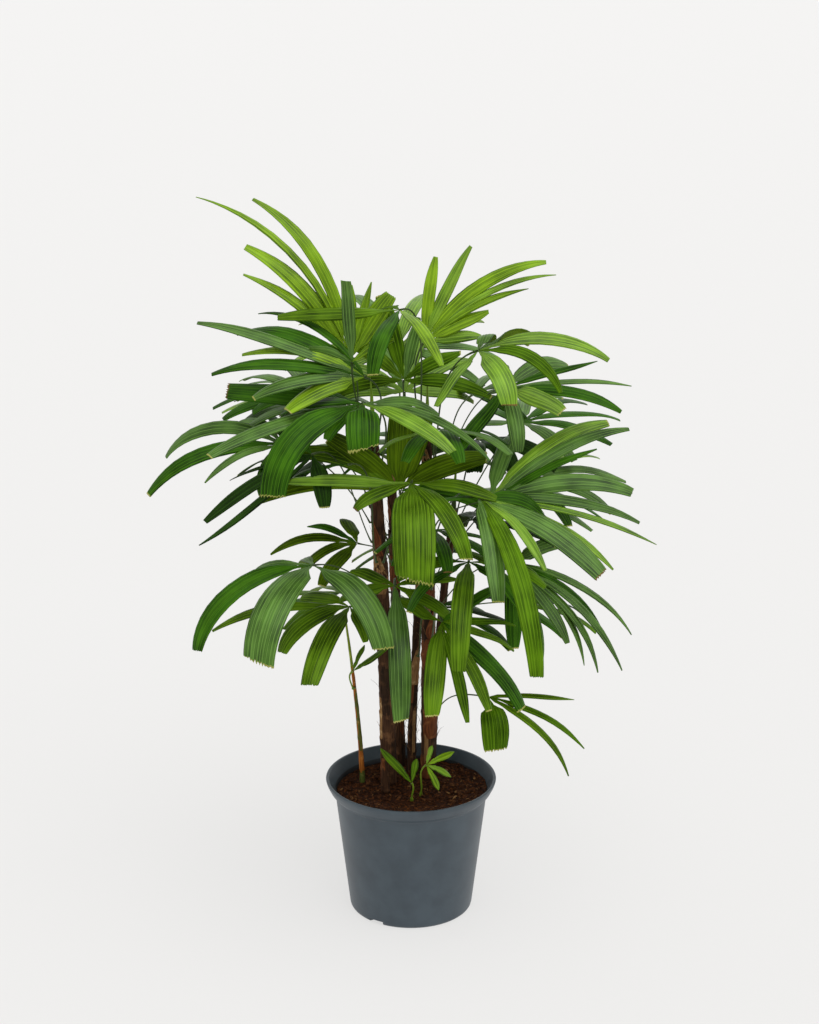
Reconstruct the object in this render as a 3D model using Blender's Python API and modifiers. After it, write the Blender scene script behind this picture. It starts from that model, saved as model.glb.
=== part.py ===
# Lady palm in a round nursery pot.
# A clump of fibrous canes stands in the potting mix, each cane carries fronds on thin
# stalks, and every frond is a hand-shaped blade cut into narrow leaflets.
# Metres, +Z up. The origin is the centre of the pot's flat underside, and -Y is the front.

import math
from itertools import product

import bpy
import bmesh
from mathutils import Vector
from mathutils.bvhtree import BVHTree

CM = 0.01
MM = 0.001

# Driving dimensions of the pot and the mix in it
RIM_DIAMETER = 260 * MM
POT_HEIGHT = 210 * MM
WALL = 2.5 * MM
LIP_DEPTH = 20 * MM
WALL_TOP_DIAMETER = 232 * MM
BASE_DIAMETER = 187 * MM
BASE_ROUND = 6 * MM
SOIL_BELOW_RIM = 24 * MM
POT_STEPS = 32

# Clearance between pieces that touch on the real plant
GAP = 0.3 * MM

# Leaf and stalk thickness, the stalk's width and the usual leaflet's width
BLADE = 1.6 * MM
STALK_WIDTH = 4.5 * MM
STALK_COLLAR = 5 * MM
HUB_RADIUS = 14 * MM
LEAF_WIDTH = 2.4
LEAF_DROOP = 40
LEAF_TURN = 0

# Canes: foot on the mix (x, y), tip (x, y), height above the floor, foot and tip radius.
# Centimetres.
CANES = {
    "cane_front_left": ((-3.4, 2.9), (-5.6, 1.6), 76, 1.25, 0.75),
    "cane_right": ((2.7, 5.0), (2.4, 3.6), 75, 1.2, 0.65),
    "cane_back_left": ((-1.8, 9.2), (-3.0, 12.5), 66, 0.95, 0.6),
    "cane_middle": ((0.05, 6.6), (1.8, 9.0), 58, 0.7, 0.5),
    "cane_back_right": ((3.1, 8.8), (6.5, 12.5), 60, 0.8, 0.5),
    "cane_stub": ((-3.9, -0.4), (-4.2, -0.9), 24.5, 0.55, 0.4),
    "shoot_left": ((-7.5, 2.9), (-9.9, 2.4), 46, 0.42, 0.15),
}
CANE_RINGS = 6


def fan(count, spread, longest):
    """A regular blade: leaflets evenly spread, the middle ones longest."""
    swings = [spread * (k / (count - 1) - 0.5) for k in range(count)]
    return tuple((s, longest * (1 - 0.3 * abs(2 * s / spread) ** 1.5)) for s in swings)


# Fronds. Each row names the cane that carries the frond, and gives the height where its
# stalk leaves the cane, the blade's hub (x, y, z), and the compass direction, pitch and
# roll of the blade. Then come its leaflets: swing from the blade's middle line, length,
# and where they aren't the usual ones the width, the droop from hub to tip and the turn
# about its own line. Centimetres and degrees.
FRONDS = {
    # Crown top
    "frond_top_left": ("cane_front_left", 73, (-8.7, 2.0, 85.7), 178, 62, -80, (
        (-55, 9.5, 3.0, 15), (-42, 10, 1.3, 5), (-28, 9.2, 1.8, 0), (-17, 26.5, 1.9, 54),
        (-8, 32, 1.2, 60), (1, 21, 2.4, 34), (10, 18.5, 1.6, 32))),
    "frond_top_right": ("cane_right", 73, (1.9, 3.0, 87.9), 0, 55, 80, (
        (-42, 7, 1.8, 15), (-24, 9, 2.0, 12), (-14, 15.8, 1.2, 34), (-10, 20.5, 1.0, 45),
        (-2, 20.3, 2.0, 50), (14, 14, 1.9, 12), (29, 11, 1.9, 4))),
    "frond_bar": ("cane_right", 71, (-1.6, -3.0, 93.8), 225, -8, 0, (
        (-110, 10, 2.2, 40), (-55, 16.5, 2.2, 2, -38), (26, 13, 2.8, 62), (66, 15.5, 1.9, 34))),
    "frond_centre_top": ("cane_right", 69, (-1.1, 2.0, 82.5), 80, 78, 0, (
        (-95, 12, 2.2, 50), (-55, 8, 2.2, 20), (-20, 8, 2.0, 10), (15, 11.5, 2.6, 10),
        (50, 9, 2.2, 20), (95, 12, 2.2, 50))),
    # Front of the crown
    "frond_front_upper": ("cane_front_left", 70, (-6.9, -10.0, 81.9), 265, -3, 0, (
        (-115, 13, 2.2, 40, -25), (-48, 19.5, 4.2, 88, -32), (8, 8.2, 4.8, 88),
        (60, 15, 2.6, 40, 25), (82, 19, 1.6, 54, 30), (125, 12, 2.0, 40, 25))),
    "frond_front_top": ("cane_front_left", 72, (-8.3, -7.5, 87.3), 270, 86, 0, (
        (-62, 5, 1.3, 30), (-3, 10.4, 1.9, 5), (52, 5.5, 1.3, 30))),
    "frond_front_right": ("cane_right", 56, (9.5, -12.0, 69.0), 300, -12, 0, (
        (-105, 10, 1.4, 14), (-20, 18, 2.9, 62), (-11, 30, 3.0, 72), (12, 14.5, 2.0, 46),
        (24, 20, 3.4, 30, 25), (39, 20.5, 1.5, 36, 15), (80, 10, 2.6, 50, 35))),
    "frond_front_centre": ("cane_front_left", 55, (0.0, -12.0, 71.0), 262, -6, 0, (
        (-92, 17, 2.3, 4, -30), (-56, 8, 2.2, 40, -30), (10, 17, 6.0, 84), (36, 15, 3.2, 70),
        (95, 11, 2.4, 50, 35))),
    "frond_mid_hanging": ("cane_right", 50, (8.2, -10.0, 58.7), 262, 0, 0, (
        (-95, 10, 2.4, 50, -30), (-40, 12, 2.4, 60), (2, 20, 3.0, 88), (50, 12, 2.6, 60, 15),
        (100, 11, 2.4, 50, 30))),
    "frond_front_low": ("cane_front_left", 43, (-2.3, -9.0, 54.8), 270, -36, 0, (
        (-120, 6, 2.2, 20), (-84, 7, 2.6, 30), (4, 19.3, 3.2, 52), (60, 9, 2.4, 40),
        (110, 8, 2.0, 30))),
    "frond_centre_low": ("cane_right", 41, (4.4, -13.0, 50.8), 290, -30, 0, (
        (-125, 6.5, 2.4, 10), (-24, 14, 3.0, 40), (-10, 15, 1.8, 30), (1, 14, 2.2, 30),
        (33, 16, 3.3, 34), (66, 10, 1.8, 30), (86, 10, 1.8, 20), (118, 12, 1.8, 5))),
    # Left side
    "frond_upper_left": ("cane_front_left", 67, (-6.6, -5.0, 84.6), 180, 20, -50, (
        (-40, 19.5, 1.3, 62), (-29, 19, 2.8, 52), (-17, 17, 2.0, 40), (-6, 23.5, 2.0, 18),
        (6, 20.5, 2.2, 34), (18, 15, 2.4, 38), (32, 11, 3.0, 36))),
    "frond_left_shelf": ("cane_front_left", 65, (-6.8, -2.0, 79.9), 188, 5, -10, (
        (-33, 18, 2.4, 50, -40), (0, 18.5, 3.8, 4, -38), (19, 24.5, 2.4, 22, -28),
        (47, 8, 2.4, 60))),
    "frond_left_mid": ("cane_front_left", 61, (-18.4, -2.0, 73.9), 182, 14, -30, (
        (-70, 9, 1.8, 60), (-46, 9, 1.6, 60, -20), (-18, 19, 2.2, 84, -38),
        (16, 20.5, 2.4, 58, -22), (26, 12, 1.4, 52), (70, 8, 2.6, 70))),
    "frond_left_lower": ("cane_front_left", 58, (-14.2, -5.0, 73.2), 208, -18, -20, (
        (-95, 8, 2.0, 50), (-28, 11, 1.0, 40), (-2, 17, 2.0, 20, -20),
        (24, 22.5, 1.2, 14, -10), (75, 8, 2.6, 60))),
    "frond_low_left": ("cane_front_left", 47, (-14.0, -10.0, 58.2), 220, 4, 0, (
        (-115, 9, 1.6, 50, -20), (-60, 11, 1.6, 60, -35), (-16, 21.5, 3.0, 88, -35),
        (24, 19.5, 5.2, 88), (94, 17.5, 3.9, 80, 25))),
    "frond_low_left_back": ("cane_back_left", 40, (-9.0, -4.0, 49.8), 205, 4, -10, (
        (-60, 8, 2.4, 40, -25), (-18, 19.5, 1.7, 38, -35), (4, 12, 3.0, 76, -25),
        (45, 16, 3.4, 50), (90, 6, 2.0, 60))),
    "frond_inner_left": ("cane_back_left", 52, (-8.0, 4.0, 57.0), 180, 14, -20, (
        (-70, 7), (-30, 8, 1.2, 40, -20), (0, 12.5, 1.5, 58, -25), (26, 10.5, 2.0, 84), (60, 9))),
    "frond_olive": ("cane_middle", 57, (-1.6, -2.0, 67.0), 95, 88, 0, (
        (-88, 15, 2.4, 50), (-46, 12.5, 3.4, 32), (-14, 11.5, 3.9, 8), (16, 12, 3.7, 4),
        (42, 12, 3.2, 16), (58, 17, 2.6, 68), (75, 19.5, 2.3, 46))),
    # Right side
    "frond_upper_right": ("cane_right", 67, (9.4, -6.0, 88.6), 350, 16, 20, (
        (-124, 10, 2.0, 22), (-58, 10.5, 3.4, 66), (-14, 13.5, 2.0, 86, 22),
        (9, 18, 2.2, 60, 32), (42, 9, 3.0, 68, -50), (80, 8, 2.4, 76))),
    "frond_right_shelf": ("cane_right", 65, (13.5, 0.0, 81.8), 0, 8, 30, (
        (-125, 12, 2.4, 0), (-80, 9.5, 2.5, 66), (-26, 8, 3.2, 32, 15), (-12, 16, 1.9, 36, 20),
        (-3, 17, 1.0, 20, 15), (16, 13, 1.2, 8, 15), (42, 12, 2.6, 50, 25), (90, 8, 2.4, 60))),
    "frond_right_mid": ("cane_right", 59, (11.5, -5.0, 66.7), 0, 20, 50, (
        (-38, 11, 1.4, 6), (-28, 23.5, 1.0, 22), (-17, 20.5, 1.9, 34), (-8, 19.5, 2.8, 44, 12),
        (5, 15.5, 1.4, 14), (15, 22, 2.0, 36, 15), (30, 20.5, 2.6, 40, 10), (62, 12, 2.6, 60))),
    "frond_low_right": ("cane_right", 46, (14.9, 0.0, 55.2), 350, -8, 40, (
        (-76, 12, 2.6, 40), (-56, 14, 2.0, 40), (-42, 13.5, 2.0, 30), (-32, 20, 1.4, 56),
        (-24, 18, 1.1, 58), (-18, 22, 1.5, 50), (-9, 16, 1.1, 52), (-2, 20, 1.3, 52),
        (48, 9, 2.4, 30, 15))),
    "frond_lowest_right": ("cane_right", 30, (11.5, -3.0, 35.2), 345, -2, 30, (
        (-64, 7.6, 4.2, 76), (-20, 16.3, 1.3, 58), (-8, 15.3, 1.3, 40), (12, 11.5, 1.0, 12))),
    "frond_dark_right": ("cane_back_right", 59, (9.8, 8.0, 71.9), 280, 10, 0, (
        (-90, 12, 3.2, 55, -30), (-50, 11, 3.2, 60), (-14, 9, 3.2, 66), (24, 9, 3.2, 66, 15),
        (66, 12, 3.0, 55, 32), (110, 14, 2.4, 40, 25))),
    "frond_shoot": ("shoot_left", 34.5, (-8.8, 0.5, 37.9), 357, 38, 30, (
        (0, 5.6, 1.3, 6), (48, 3.5, 0.9, 20))),
    # Inside of the crown
    "frond_inner_top": ("cane_back_left", 66, (-1, 9, 79), 100, 50, 0, fan(6, 170, 14)),
    "frond_inner_top_left": ("cane_front_left", 63, (-11, 7, 77), 160, 15, 0, fan(5, 150, 15)),
    "frond_inner_top_right": ("cane_right", 62, (9, 7, 79), 30, 20, 0, fan(5, 150, 14)),
    "frond_inner_front_top": ("cane_right", 61, (4, -5, 77), 285, 10, 0, fan(5, 150, 13)),
    "frond_inner_left_front": ("cane_front_left", 55, (-9, -6, 72), 215, -5, 0, fan(3, 90, 11)),
    "frond_inner_right": ("cane_right", 52, (9, 3, 61), 15, 5, 0, fan(5, 150, 14)),
    "frond_inner_front": ("cane_middle", 50, (3, -5, 62), 280, 5, 0, fan(5, 150, 12)),
    "frond_right_back": ("cane_back_right", 55, (17, 9, 66), 10, 10, 20, fan(5, 130, 15)),
    "frond_left_back": ("cane_back_left", 56, (-15, 9, 79), 175, 5, -20, fan(5, 130, 14)),
    "frond_inner_low": ("cane_middle", 38, (4, 1, 48), 350, -5, 0, fan(4, 120, 13)),
    # Back of the crown
    "frond_back_upper": ("cane_back_left", 65, (-2, 17, 84), 95, 30, 0, fan(8, 220, 19)),
    "frond_back_left": ("cane_back_left", 62, (-13, 16, 76), 140, 15, 0, fan(7, 200, 16)),
    "frond_back_right": ("cane_back_right", 57.5, (17, 18, 72), 50, 15, 0, fan(7, 200, 16)),
    "frond_back_centre": ("cane_back_left", 59, (2, 20, 68), 90, 5, 0, fan(7, 210, 18)),
    "frond_back_left_mid": ("cane_back_left", 55, (-12, 18, 67), 135, 0, 0, fan(7, 200, 16)),
    "frond_back_right_mid": ("cane_back_right", 53, (15, 18, 60), 45, 0, 0, fan(7, 200, 16)),
    "frond_back_low": ("cane_middle", 46, (3, 18, 52), 85, -5, 0, fan(7, 210, 16)),
    "frond_back_low_left": ("cane_back_left", 43, (-11, 16, 45), 130, -5, 0, fan(6, 190, 16)),
    "frond_back_low_right": ("cane_back_right", 42, (15, 15, 44), 50, -5, 0, fan(6, 190, 16)),
}

# Suckers: foot on the mix, and a small frond on a short stem. Same order as above, with
# the foot (x, y) in place of the cane and height.
SUCKERS = {
    "sucker_left": ((0.1, -3.8), (0.1, -4.2, 21.7), 175, 52, -60, (
        (-52, 2.4, 1.1, 5), (0, 5.9, 1.3, 8))),
    "sucker_right": ((1.5, -2.0), (2.3, -3.6, 24.4), 0, 30, 50, (
        (-85, 3, 1.0, 16), (-45, 3, 1.0, 30), (0, 3.4, 1.1, 8), (50, 1.8, 0.8, 10))),
}

# A leaflet is narrow at the hub, widest past its middle and blunt at the tip:
# place along it, and width as a share of its full width. A short one needs fewer places.
LEAF_STATIONS = ((0.0, 0.3), (0.32, 0.85), (0.7, 1.0), (1.0, 0.42))
SHORT_STATIONS = ((0.0, 0.3), (0.55, 1.0), (1.0, 0.42))
SHORT_LEAF = 13 * CM
STALK_STATIONS = (0.0, 0.5, 1.0)
PATH_STEPS = 24
TWIST = 0.55
TURNED_BY = 0.3

# Ways to lead a stalk that touches something: centimetres down its cane, degrees round it
# and bow to a side.
STALK_DROPS = (0, 0.8, -0.8, 1.6, 2.4, 3.2)
STALK_TURNS = (0, 30, -30, 60, -60, 90, -90)
STALK_BOWS = (0, 0.15, -0.15, 0.3, -0.3)

# Ways to move a leaflet that touches another one: swing and droop in degrees, and the
# share of its length that is kept. The smallest move that clears it is taken.
SWING_MOVES = (0, 4, -4, 8, -8, 13, -13, 18, -18)
DROOP_MOVES = (0, 7, -7, 14, -14, 24, -24)
LENGTHS_KEPT = (1.0, 0.85, 0.7, 0.5)
LEAF_CLEARANCE = 0.8 * MM


def direction(azimuth, pitch):
    a = math.radians(azimuth)
    p = math.radians(pitch)
    return Vector((math.cos(a) * math.cos(p), math.sin(a) * math.cos(p), math.sin(p)))


def blade_axes(azimuth, pitch, roll):
    """The blade's middle line, its side and its upper face's normal."""
    along = direction(azimuth, pitch)
    level = direction(azimuth + 90, 0)
    face = along.cross(level)
    r = math.radians(roll)
    side = level * math.cos(r) + face * math.sin(r)
    return along, side, along.cross(side)


def leaf_path(base, heading, side, length, droop, turn):
    """Points, directions and sides along a leaflet that bends down under its weight."""
    azimuth = math.degrees(math.atan2(heading.y, heading.x))
    pitch = math.degrees(math.asin(max(-1.0, min(1.0, heading.z))))
    level = direction(azimuth + 90, 0)
    if level.dot(side) < 0:
        level = -level
    path = []
    point = base.copy()
    for step in range(PATH_STEPS + 1):
        t = step / PATH_STEPS
        along = direction(azimuth, max(pitch - droop * t ** 1.3, -88))
        across = side.lerp(level, TWIST * t)
        across = (across - along * across.dot(along)).normalized()
        a = math.radians(turn) * min(1.0, t / TURNED_BY)
        across = across * math.cos(a) + along.cross(across) * math.sin(a)
        path.append((point.copy(), along, across))
        point += along * (length / PATH_STEPS)
    return path


def leaf_rows(path, width, length):
    """The leaflet's two edges at each of its stations."""
    rows = []
    for t, share in SHORT_STATIONS if length < SHORT_LEAF else LEAF_STATIONS:
        point, _, across = path[round(t * PATH_STEPS)]
        rows.append((point - across * width * share / 2, point + across * width * share / 2))
    return rows


def strip_tree(rows, thickness):
    """A search tree of the flat box that a strip of edge pairs fills."""
    corners = []
    for k, (left, right) in enumerate(rows):
        ahead = rows[min(k + 1, len(rows) - 1)][0] - rows[max(k - 1, 0)][0]
        lift = ahead.cross(right - left).normalized() * thickness / 2
        corners += [left - lift, right - lift, right + lift, left + lift]
    faces = [(0, 1, 2, 3)]
    for k in range(len(rows) - 1):
        a = 4 * k
        faces += [(a + j, a + (j + 1) % 4, a + 4 + (j + 1) % 4, a + 4 + j) for j in range(4)]
    end = 4 * (len(rows) - 1)
    faces.append((end + 3, end + 2, end + 1, end))
    return BVHTree.FromPolygons(corners, faces)


def plate_tree(ring, normal, thickness):
    """A search tree of the flat plate that an outline fills."""
    lift = normal * thickness / 2
    count = len(ring)
    corners = [p - lift for p in ring] + [p + lift for p in ring]
    faces = [tuple(range(count)), tuple(range(2 * count - 1, count - 1, -1))]
    faces += [(k, (k + 1) % count, count + (k + 1) % count, count + k) for k in range(count)]
    return BVHTree.FromPolygons(corners, faces)


class Crowd:
    """Everything placed so far, and whether a new piece would touch any of it."""

    def __init__(self):
        self.members = []

    def add(self, tree, low, high, family):
        self.members.append((tree, low, high, family))

    def touches(self, tree, low, high, family=None):
        for other, other_low, other_high, other_family in self.members:
            if family is not None and other_family == family:
                continue
            if any(low[i] > other_high[i] or high[i] < other_low[i] for i in range(3)):
                continue
            if other.overlap(tree):
                return True
        return False


def span(rows, margin=3 * MM):
    """Lowest and highest corners of a strip, with a margin."""
    points = [p for row in rows for p in row]
    low = [min(p[i] for p in points) - margin for i in range(3)]
    high = [max(p[i] for p in points) + margin for i in range(3)]
    return low, high


def stalk_rows(start, outward, collar, hub, along, side, bow):
    """The stalk's edge pairs: straight out of its cane, up, and over to the blade's hub."""
    reach = (hub - start).length
    across = direction(math.degrees(math.atan2(outward.y, outward.x)) + 90, 0)
    if across.dot(side) < 0:
        across = -across
    up = Vector((0, 0, 1))
    clear = start + collar * STALK_COLLAR
    leave = clear + (outward * 0.45 + up * 0.9 + across * bow) * reach * 0.35
    arrive = hub - along * reach * 0.3 + across * bow * reach * 0.35
    rows = [(start - across * STALK_WIDTH / 2, start + across * STALK_WIDTH / 2)]
    for t in STALK_STATIONS:
        s = 1 - t
        point = clear * s ** 3 + leave * 3 * s * s * t + arrive * 3 * s * t * t + hub * t ** 3
        width = across.lerp(side, t).normalized() * STALK_WIDTH / 2
        rows.append((point - width, point + width))
    return rows


def hub_corners(hub, along, side, swings):
    """Where each leaflet joins the hub: a pair of corners on its round edge."""
    widest = 34
    corners = []
    for k, swing in enumerate(swings):
        before = swing - swings[k - 1] if k else widest
        after = swings[k + 1] - swing if k + 1 < len(swings) else widest
        pair = []
        for angle in (swing - min(before, widest) / 2, swing + min(after, widest) / 2):
            a = math.radians(angle)
            pair.append(hub + (along * math.cos(a) + side * math.sin(a)) * HUB_RADIUS)
        corners.append(pair)
    return corners


def hub_outline(hub, side, corners):
    """The hub's edge: round from one side of the stalk's end, past every leaflet."""
    ring = [hub - side * STALK_WIDTH / 2]
    for point in [p for pair in corners for p in pair] + [hub + side * STALK_WIDTH / 2]:
        if (point - ring[-1]).length > 0.2 * MM:
            ring.append(point)
    return ring


def grow_stalk(frame, cane_tree, crowd, name):
    """The first stalk, by bow, place round its cane and height, that touches nothing."""
    foot, hub, along, side, _ = frame
    to_hub = math.degrees(math.atan2(hub.y - foot.y, hub.x - foot.x))
    for drop, turn, bow in product(STALK_DROPS, STALK_TURNS, STALK_BOWS):
        outward = direction(to_hub + turn, 0)
        start = foot
        collar = Vector((0, 0, 1))
        if cane_tree is not None:
            level = foot - Vector((0, 0, drop * CM))
            hit, normal, _, _ = cane_tree.ray_cast(level + outward * 0.1, -outward)
            outward = Vector((normal.x, normal.y, 0)).normalized()
            start = hit + outward * GAP
            collar = outward
        rows = stalk_rows(start, outward, collar, hub, along, side, bow)
        tree = strip_tree(rows, BLADE + LEAF_CLEARANCE)
        low, high = span(rows)
        if not crowd.touches(tree, low, high, family=name):
            break
    else:
        print("no free way for the stalk of", name)
    crowd.add(strip_tree(rows, BLADE), low, high, name)
    return rows


def grow_leaf(corners, along, side, leaf, crowd, name, grown):
    """One leaflet from its hub corners, moved as little as it takes to touch nothing."""
    usual = (LEAF_WIDTH, LEAF_DROOP, LEAF_TURN)
    swing, length, width, droop, turn = (*leaf, *usual[len(leaf) - 2:])
    base = (corners[0] + corners[1]) / 2
    moves = sorted(product(LENGTHS_KEPT, SWING_MOVES, DROOP_MOVES),
                   key=lambda m: (-m[0], abs(m[1]) + abs(m[2]) * 0.7))
    for kept, swing_move, droop_move in moves:
        a = math.radians(swing + swing_move)
        heading = along * math.cos(a) + side * math.sin(a)
        across = side * math.cos(a) - along * math.sin(a)
        path = leaf_path(base, heading, across, length * CM * kept, droop + droop_move, turn)
        rows = leaf_rows(path, width * CM, length * CM)
        rows[0] = (corners[0], corners[1])
        free = rows[1:]
        whole = strip_tree(rows, BLADE + LEAF_CLEARANCE)
        outer = strip_tree(free, BLADE + LEAF_CLEARANCE)
        low, high = span(rows)
        if crowd.touches(whole, low, high, family=name):
            continue
        if any(outer.overlap(other) for other in grown):
            continue
        grown.append(strip_tree(free, BLADE))
        crowd.add(strip_tree(rows, BLADE), low, high, name)
        return rows
    print("no room for a leaflet of", name)
    return None


def frond_mesh(name, stalk, ring, leaves):
    """One open sheet: the stalk's ribbon, the hub and the leaflets."""
    bm = bmesh.new()
    known = {}

    def corner(point):
        key = tuple(round(c, 6) for c in point)
        if key not in known:
            known[key] = bm.verts.new(point)
        return known[key]

    bm.faces.new([corner(p) for p in ring])
    for rows in [stalk] + leaves:
        for (a, b), (c, d) in zip(rows, rows[1:]):
            bm.faces.new([corner(a), corner(b), corner(d), corner(c)])
    bmesh.ops.recalc_face_normals(bm, faces=bm.faces)
    mesh = bpy.data.meshes.new(name)
    bm.to_mesh(mesh)
    bm.free()
    return mesh


def material(name, colour, roughness):
    made = bpy.data.materials.new(name)
    made.use_nodes = True
    shader = made.node_tree.nodes["Principled BSDF"]
    shader.inputs["Base Color"].default_value = (*colour, 1)
    shader.inputs["Roughness"].default_value = roughness
    made.diffuse_color = (*colour, 1)
    return made


def place(obj, collection, finish):
    obj.data.materials.append(finish)
    collection.objects.link(obj)
    return obj


def wall_radius(z):
    """The pot's outer radius at a height, on its straight taper."""
    foot = BASE_DIAMETER / 2
    top = WALL_TOP_DIAMETER / 2
    return foot + (top - foot) * z / (POT_HEIGHT - LIP_DEPTH)


def turned(name, profile, collection, finish):
    """A round body from its profile (radius, height), down its outer side."""
    mesh = bpy.data.meshes.new(name)
    points = [(r, 0, z) for r, z in profile]
    mesh.from_pydata(points, [(k, k + 1) for k in range(len(points) - 1)], [])
    obj = place(bpy.data.objects.new(name, mesh), collection, finish)
    screw = obj.modifiers.new("turn", "SCREW")
    screw.steps = POT_STEPS
    screw.render_steps = POT_STEPS
    screw.use_merge_vertices = True
    screw.merge_threshold = 0.00005
    screw.use_smooth_shade = True
    return obj


def build_pot(collection):
    """Injection-moulded nursery pot: tapered wall, rolled lip, flat underside."""
    lip = RIM_DIAMETER / 2
    under_lip = POT_HEIGHT - LIP_DEPTH
    profile = [
        (0, WALL),
        (wall_radius(WALL) - WALL, WALL),
        (wall_radius(under_lip) - WALL, under_lip),
        (lip - 8 * MM, POT_HEIGHT - 2 * MM),
        (lip - 5 * MM, POT_HEIGHT),
        (lip - 2 * MM, POT_HEIGHT),
        (lip, POT_HEIGHT - 3 * MM),
        (lip - 2 * MM, under_lip + 6 * MM),
        (wall_radius(under_lip) + 4 * MM, under_lip + 1 * MM),
        (wall_radius(under_lip - 6 * MM), under_lip - 6 * MM),
        (wall_radius(BASE_ROUND), BASE_ROUND),
        (wall_radius(0) - BASE_ROUND * 0.3, BASE_ROUND * 0.3),
        (wall_radius(0) - BASE_ROUND, 0),
        (0, 0),
    ]
    return turned("pot", profile, collection, material("pot_plastic", (0.07, 0.09, 0.11), 0.45))


def build_mix(collection):
    """The potting mix, a solid plug with a flat top."""
    top = POT_HEIGHT - SOIL_BELOW_RIM
    bottom = WALL + GAP
    inset = WALL + 2 * GAP
    profile = [
        (0, top),
        (wall_radius(top) - inset, top),
        (wall_radius(bottom) - inset, bottom),
        (0, bottom),
    ]
    return turned("potting_mix", profile, collection, material("coir_mix", (0.06, 0.03, 0.02), 0.95))


def cane_axis(foot, tip, height):
    """Points up a cane: upright over its foot, then a slow lean to its tip."""
    ground = POT_HEIGHT - SOIL_BELOW_RIM + GAP
    low = Vector((*foot, 0)) * CM + Vector((0, 0, ground))
    high = Vector((*tip, height)) * CM
    points = [(0.0, low)]
    for k in range(CANE_RINGS):
        t = k / (CANE_RINGS - 1)
        rise = 12 * MM + (high.z - low.z - 12 * MM) * t
        lean = t ** 1.4
        points.append((rise / (high.z - low.z), Vector((
            low.x + (high.x - low.x) * lean, low.y + (high.y - low.y) * lean, low.z + rise))))
    return points


def build_cane(name, collection, finish):
    """A tapered cane from its flat cut on the mix to its tip."""
    foot, tip, height, foot_radius, tip_radius = CANES[name]
    curve = bpy.data.curves.new(name, "CURVE")
    curve.dimensions = "3D"
    curve.bevel_depth = 1.0
    curve.bevel_resolution = 2
    curve.use_fill_caps = True
    points = cane_axis(foot, tip, height)
    spline = curve.splines.new("POLY")
    spline.points.add(len(points) - 1)
    for target, (share, point) in zip(spline.points, points):
        target.co = (*point, 1)
        target.radius = (foot_radius + (tip_radius - foot_radius) * share) * CM
    return place(bpy.data.objects.new(name, curve), collection, finish)


def tree_of(obj):
    """A search tree of an object's evaluated mesh."""
    graph = bpy.context.evaluated_depsgraph_get()
    made = obj.evaluated_get(graph)
    mesh = made.to_mesh()
    tree = BVHTree.FromPolygons([v.co.copy() for v in mesh.vertices],
                                [tuple(p.vertices) for p in mesh.polygons])
    low = [min(v.co[i] for v in mesh.vertices) for i in range(3)]
    high = [max(v.co[i] for v in mesh.vertices) for i in range(3)]
    made.to_mesh_clear()
    return tree, low, high


def axis_at(name, height):
    """The cane's centre at a height, in centimetres above the floor."""
    foot, tip, top = CANES[name][:3]
    points = [p for _, p in cane_axis(foot, tip, top)]
    z = height * CM
    for a, b in zip(points, points[1:]):
        if a.z <= z <= b.z:
            return a.lerp(b, (z - a.z) / (b.z - a.z))
    return points[-1]


def frond_frame(name):
    """A frond's foot on its cane or on the mix, its hub and its blade's axes."""
    row = {**SUCKERS, **FRONDS}[name]
    hub = Vector(row[-5]) * CM
    along, side, face = blade_axes(*row[-4:-1])
    if name in SUCKERS:
        ground = POT_HEIGHT - SOIL_BELOW_RIM + GAP
        foot = Vector((*row[0], 0)) * CM + Vector((0, 0, ground))
    else:
        foot = axis_at(row[0], row[1])
    return foot, hub, along, side, face


def grow(crowd, cane_trees):
    """Every frond's strips: the hubs, then the stalks, then the leaflets in table order."""
    rows = {**SUCKERS, **FRONDS}
    grown = {}
    for name, row in rows.items():
        _, hub, along, side, face = frond_frame(name)
        leaves = sorted(row[-1])
        corners = hub_corners(hub, along, side, [leaf[0] for leaf in leaves])
        ring = hub_outline(hub, side, corners)
        low, high = span([ring])
        crowd.add(plate_tree(ring, face, BLADE), low, high, name)
        grown[name] = {"leaves": leaves, "corners": corners, "ring": ring}
    for name, row in rows.items():
        tree = cane_trees.get(row[0]) if name in FRONDS else None
        grown[name]["stalk"] = grow_stalk(frond_frame(name), tree, crowd, name)
    for name, frond in grown.items():
        _, _, along, side, _ = frond_frame(name)
        own = []
        frond["strips"] = []
        for pair, leaf in zip(frond["corners"], frond["leaves"]):
            strip = grow_leaf(pair, along, side, leaf, crowd, name, own)
            if strip:
                frond["strips"].append(strip)
    return grown


def build_frond(name, frond, collection, finish):
    """One frond as a thin closed blade."""
    mesh = frond_mesh(name, frond["stalk"], frond["ring"], frond["strips"])
    obj = place(bpy.data.objects.new(name, mesh), collection, finish)
    solid = obj.modifiers.new("thickness", "SOLIDIFY")
    solid.thickness = BLADE
    solid.offset = 0
    return obj


def build():
    for old in list(bpy.data.objects):
        bpy.data.objects.remove(old, do_unlink=True)
    collection = bpy.data.collections.new("lady_palm")
    bpy.context.scene.collection.children.link(collection)
    build_pot(collection)
    build_mix(collection)
    fibre = material("cane_fibre", (0.12, 0.06, 0.035), 0.8)
    canes = {name: build_cane(name, collection, fibre) for name in CANES}
    bpy.context.view_layer.update()
    crowd = Crowd()
    trees = {}
    for name, obj in canes.items():
        tree, low, high = tree_of(obj)
        trees[name] = tree
        crowd.add(tree, low, high, name)
    grown = grow(crowd, trees)
    leaf = material("leaf_green", (0.05, 0.17, 0.03), 0.4)
    for name, frond in grown.items():
        build_frond(name, frond, collection, leaf)
    return grown


GROWN = build()
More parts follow.
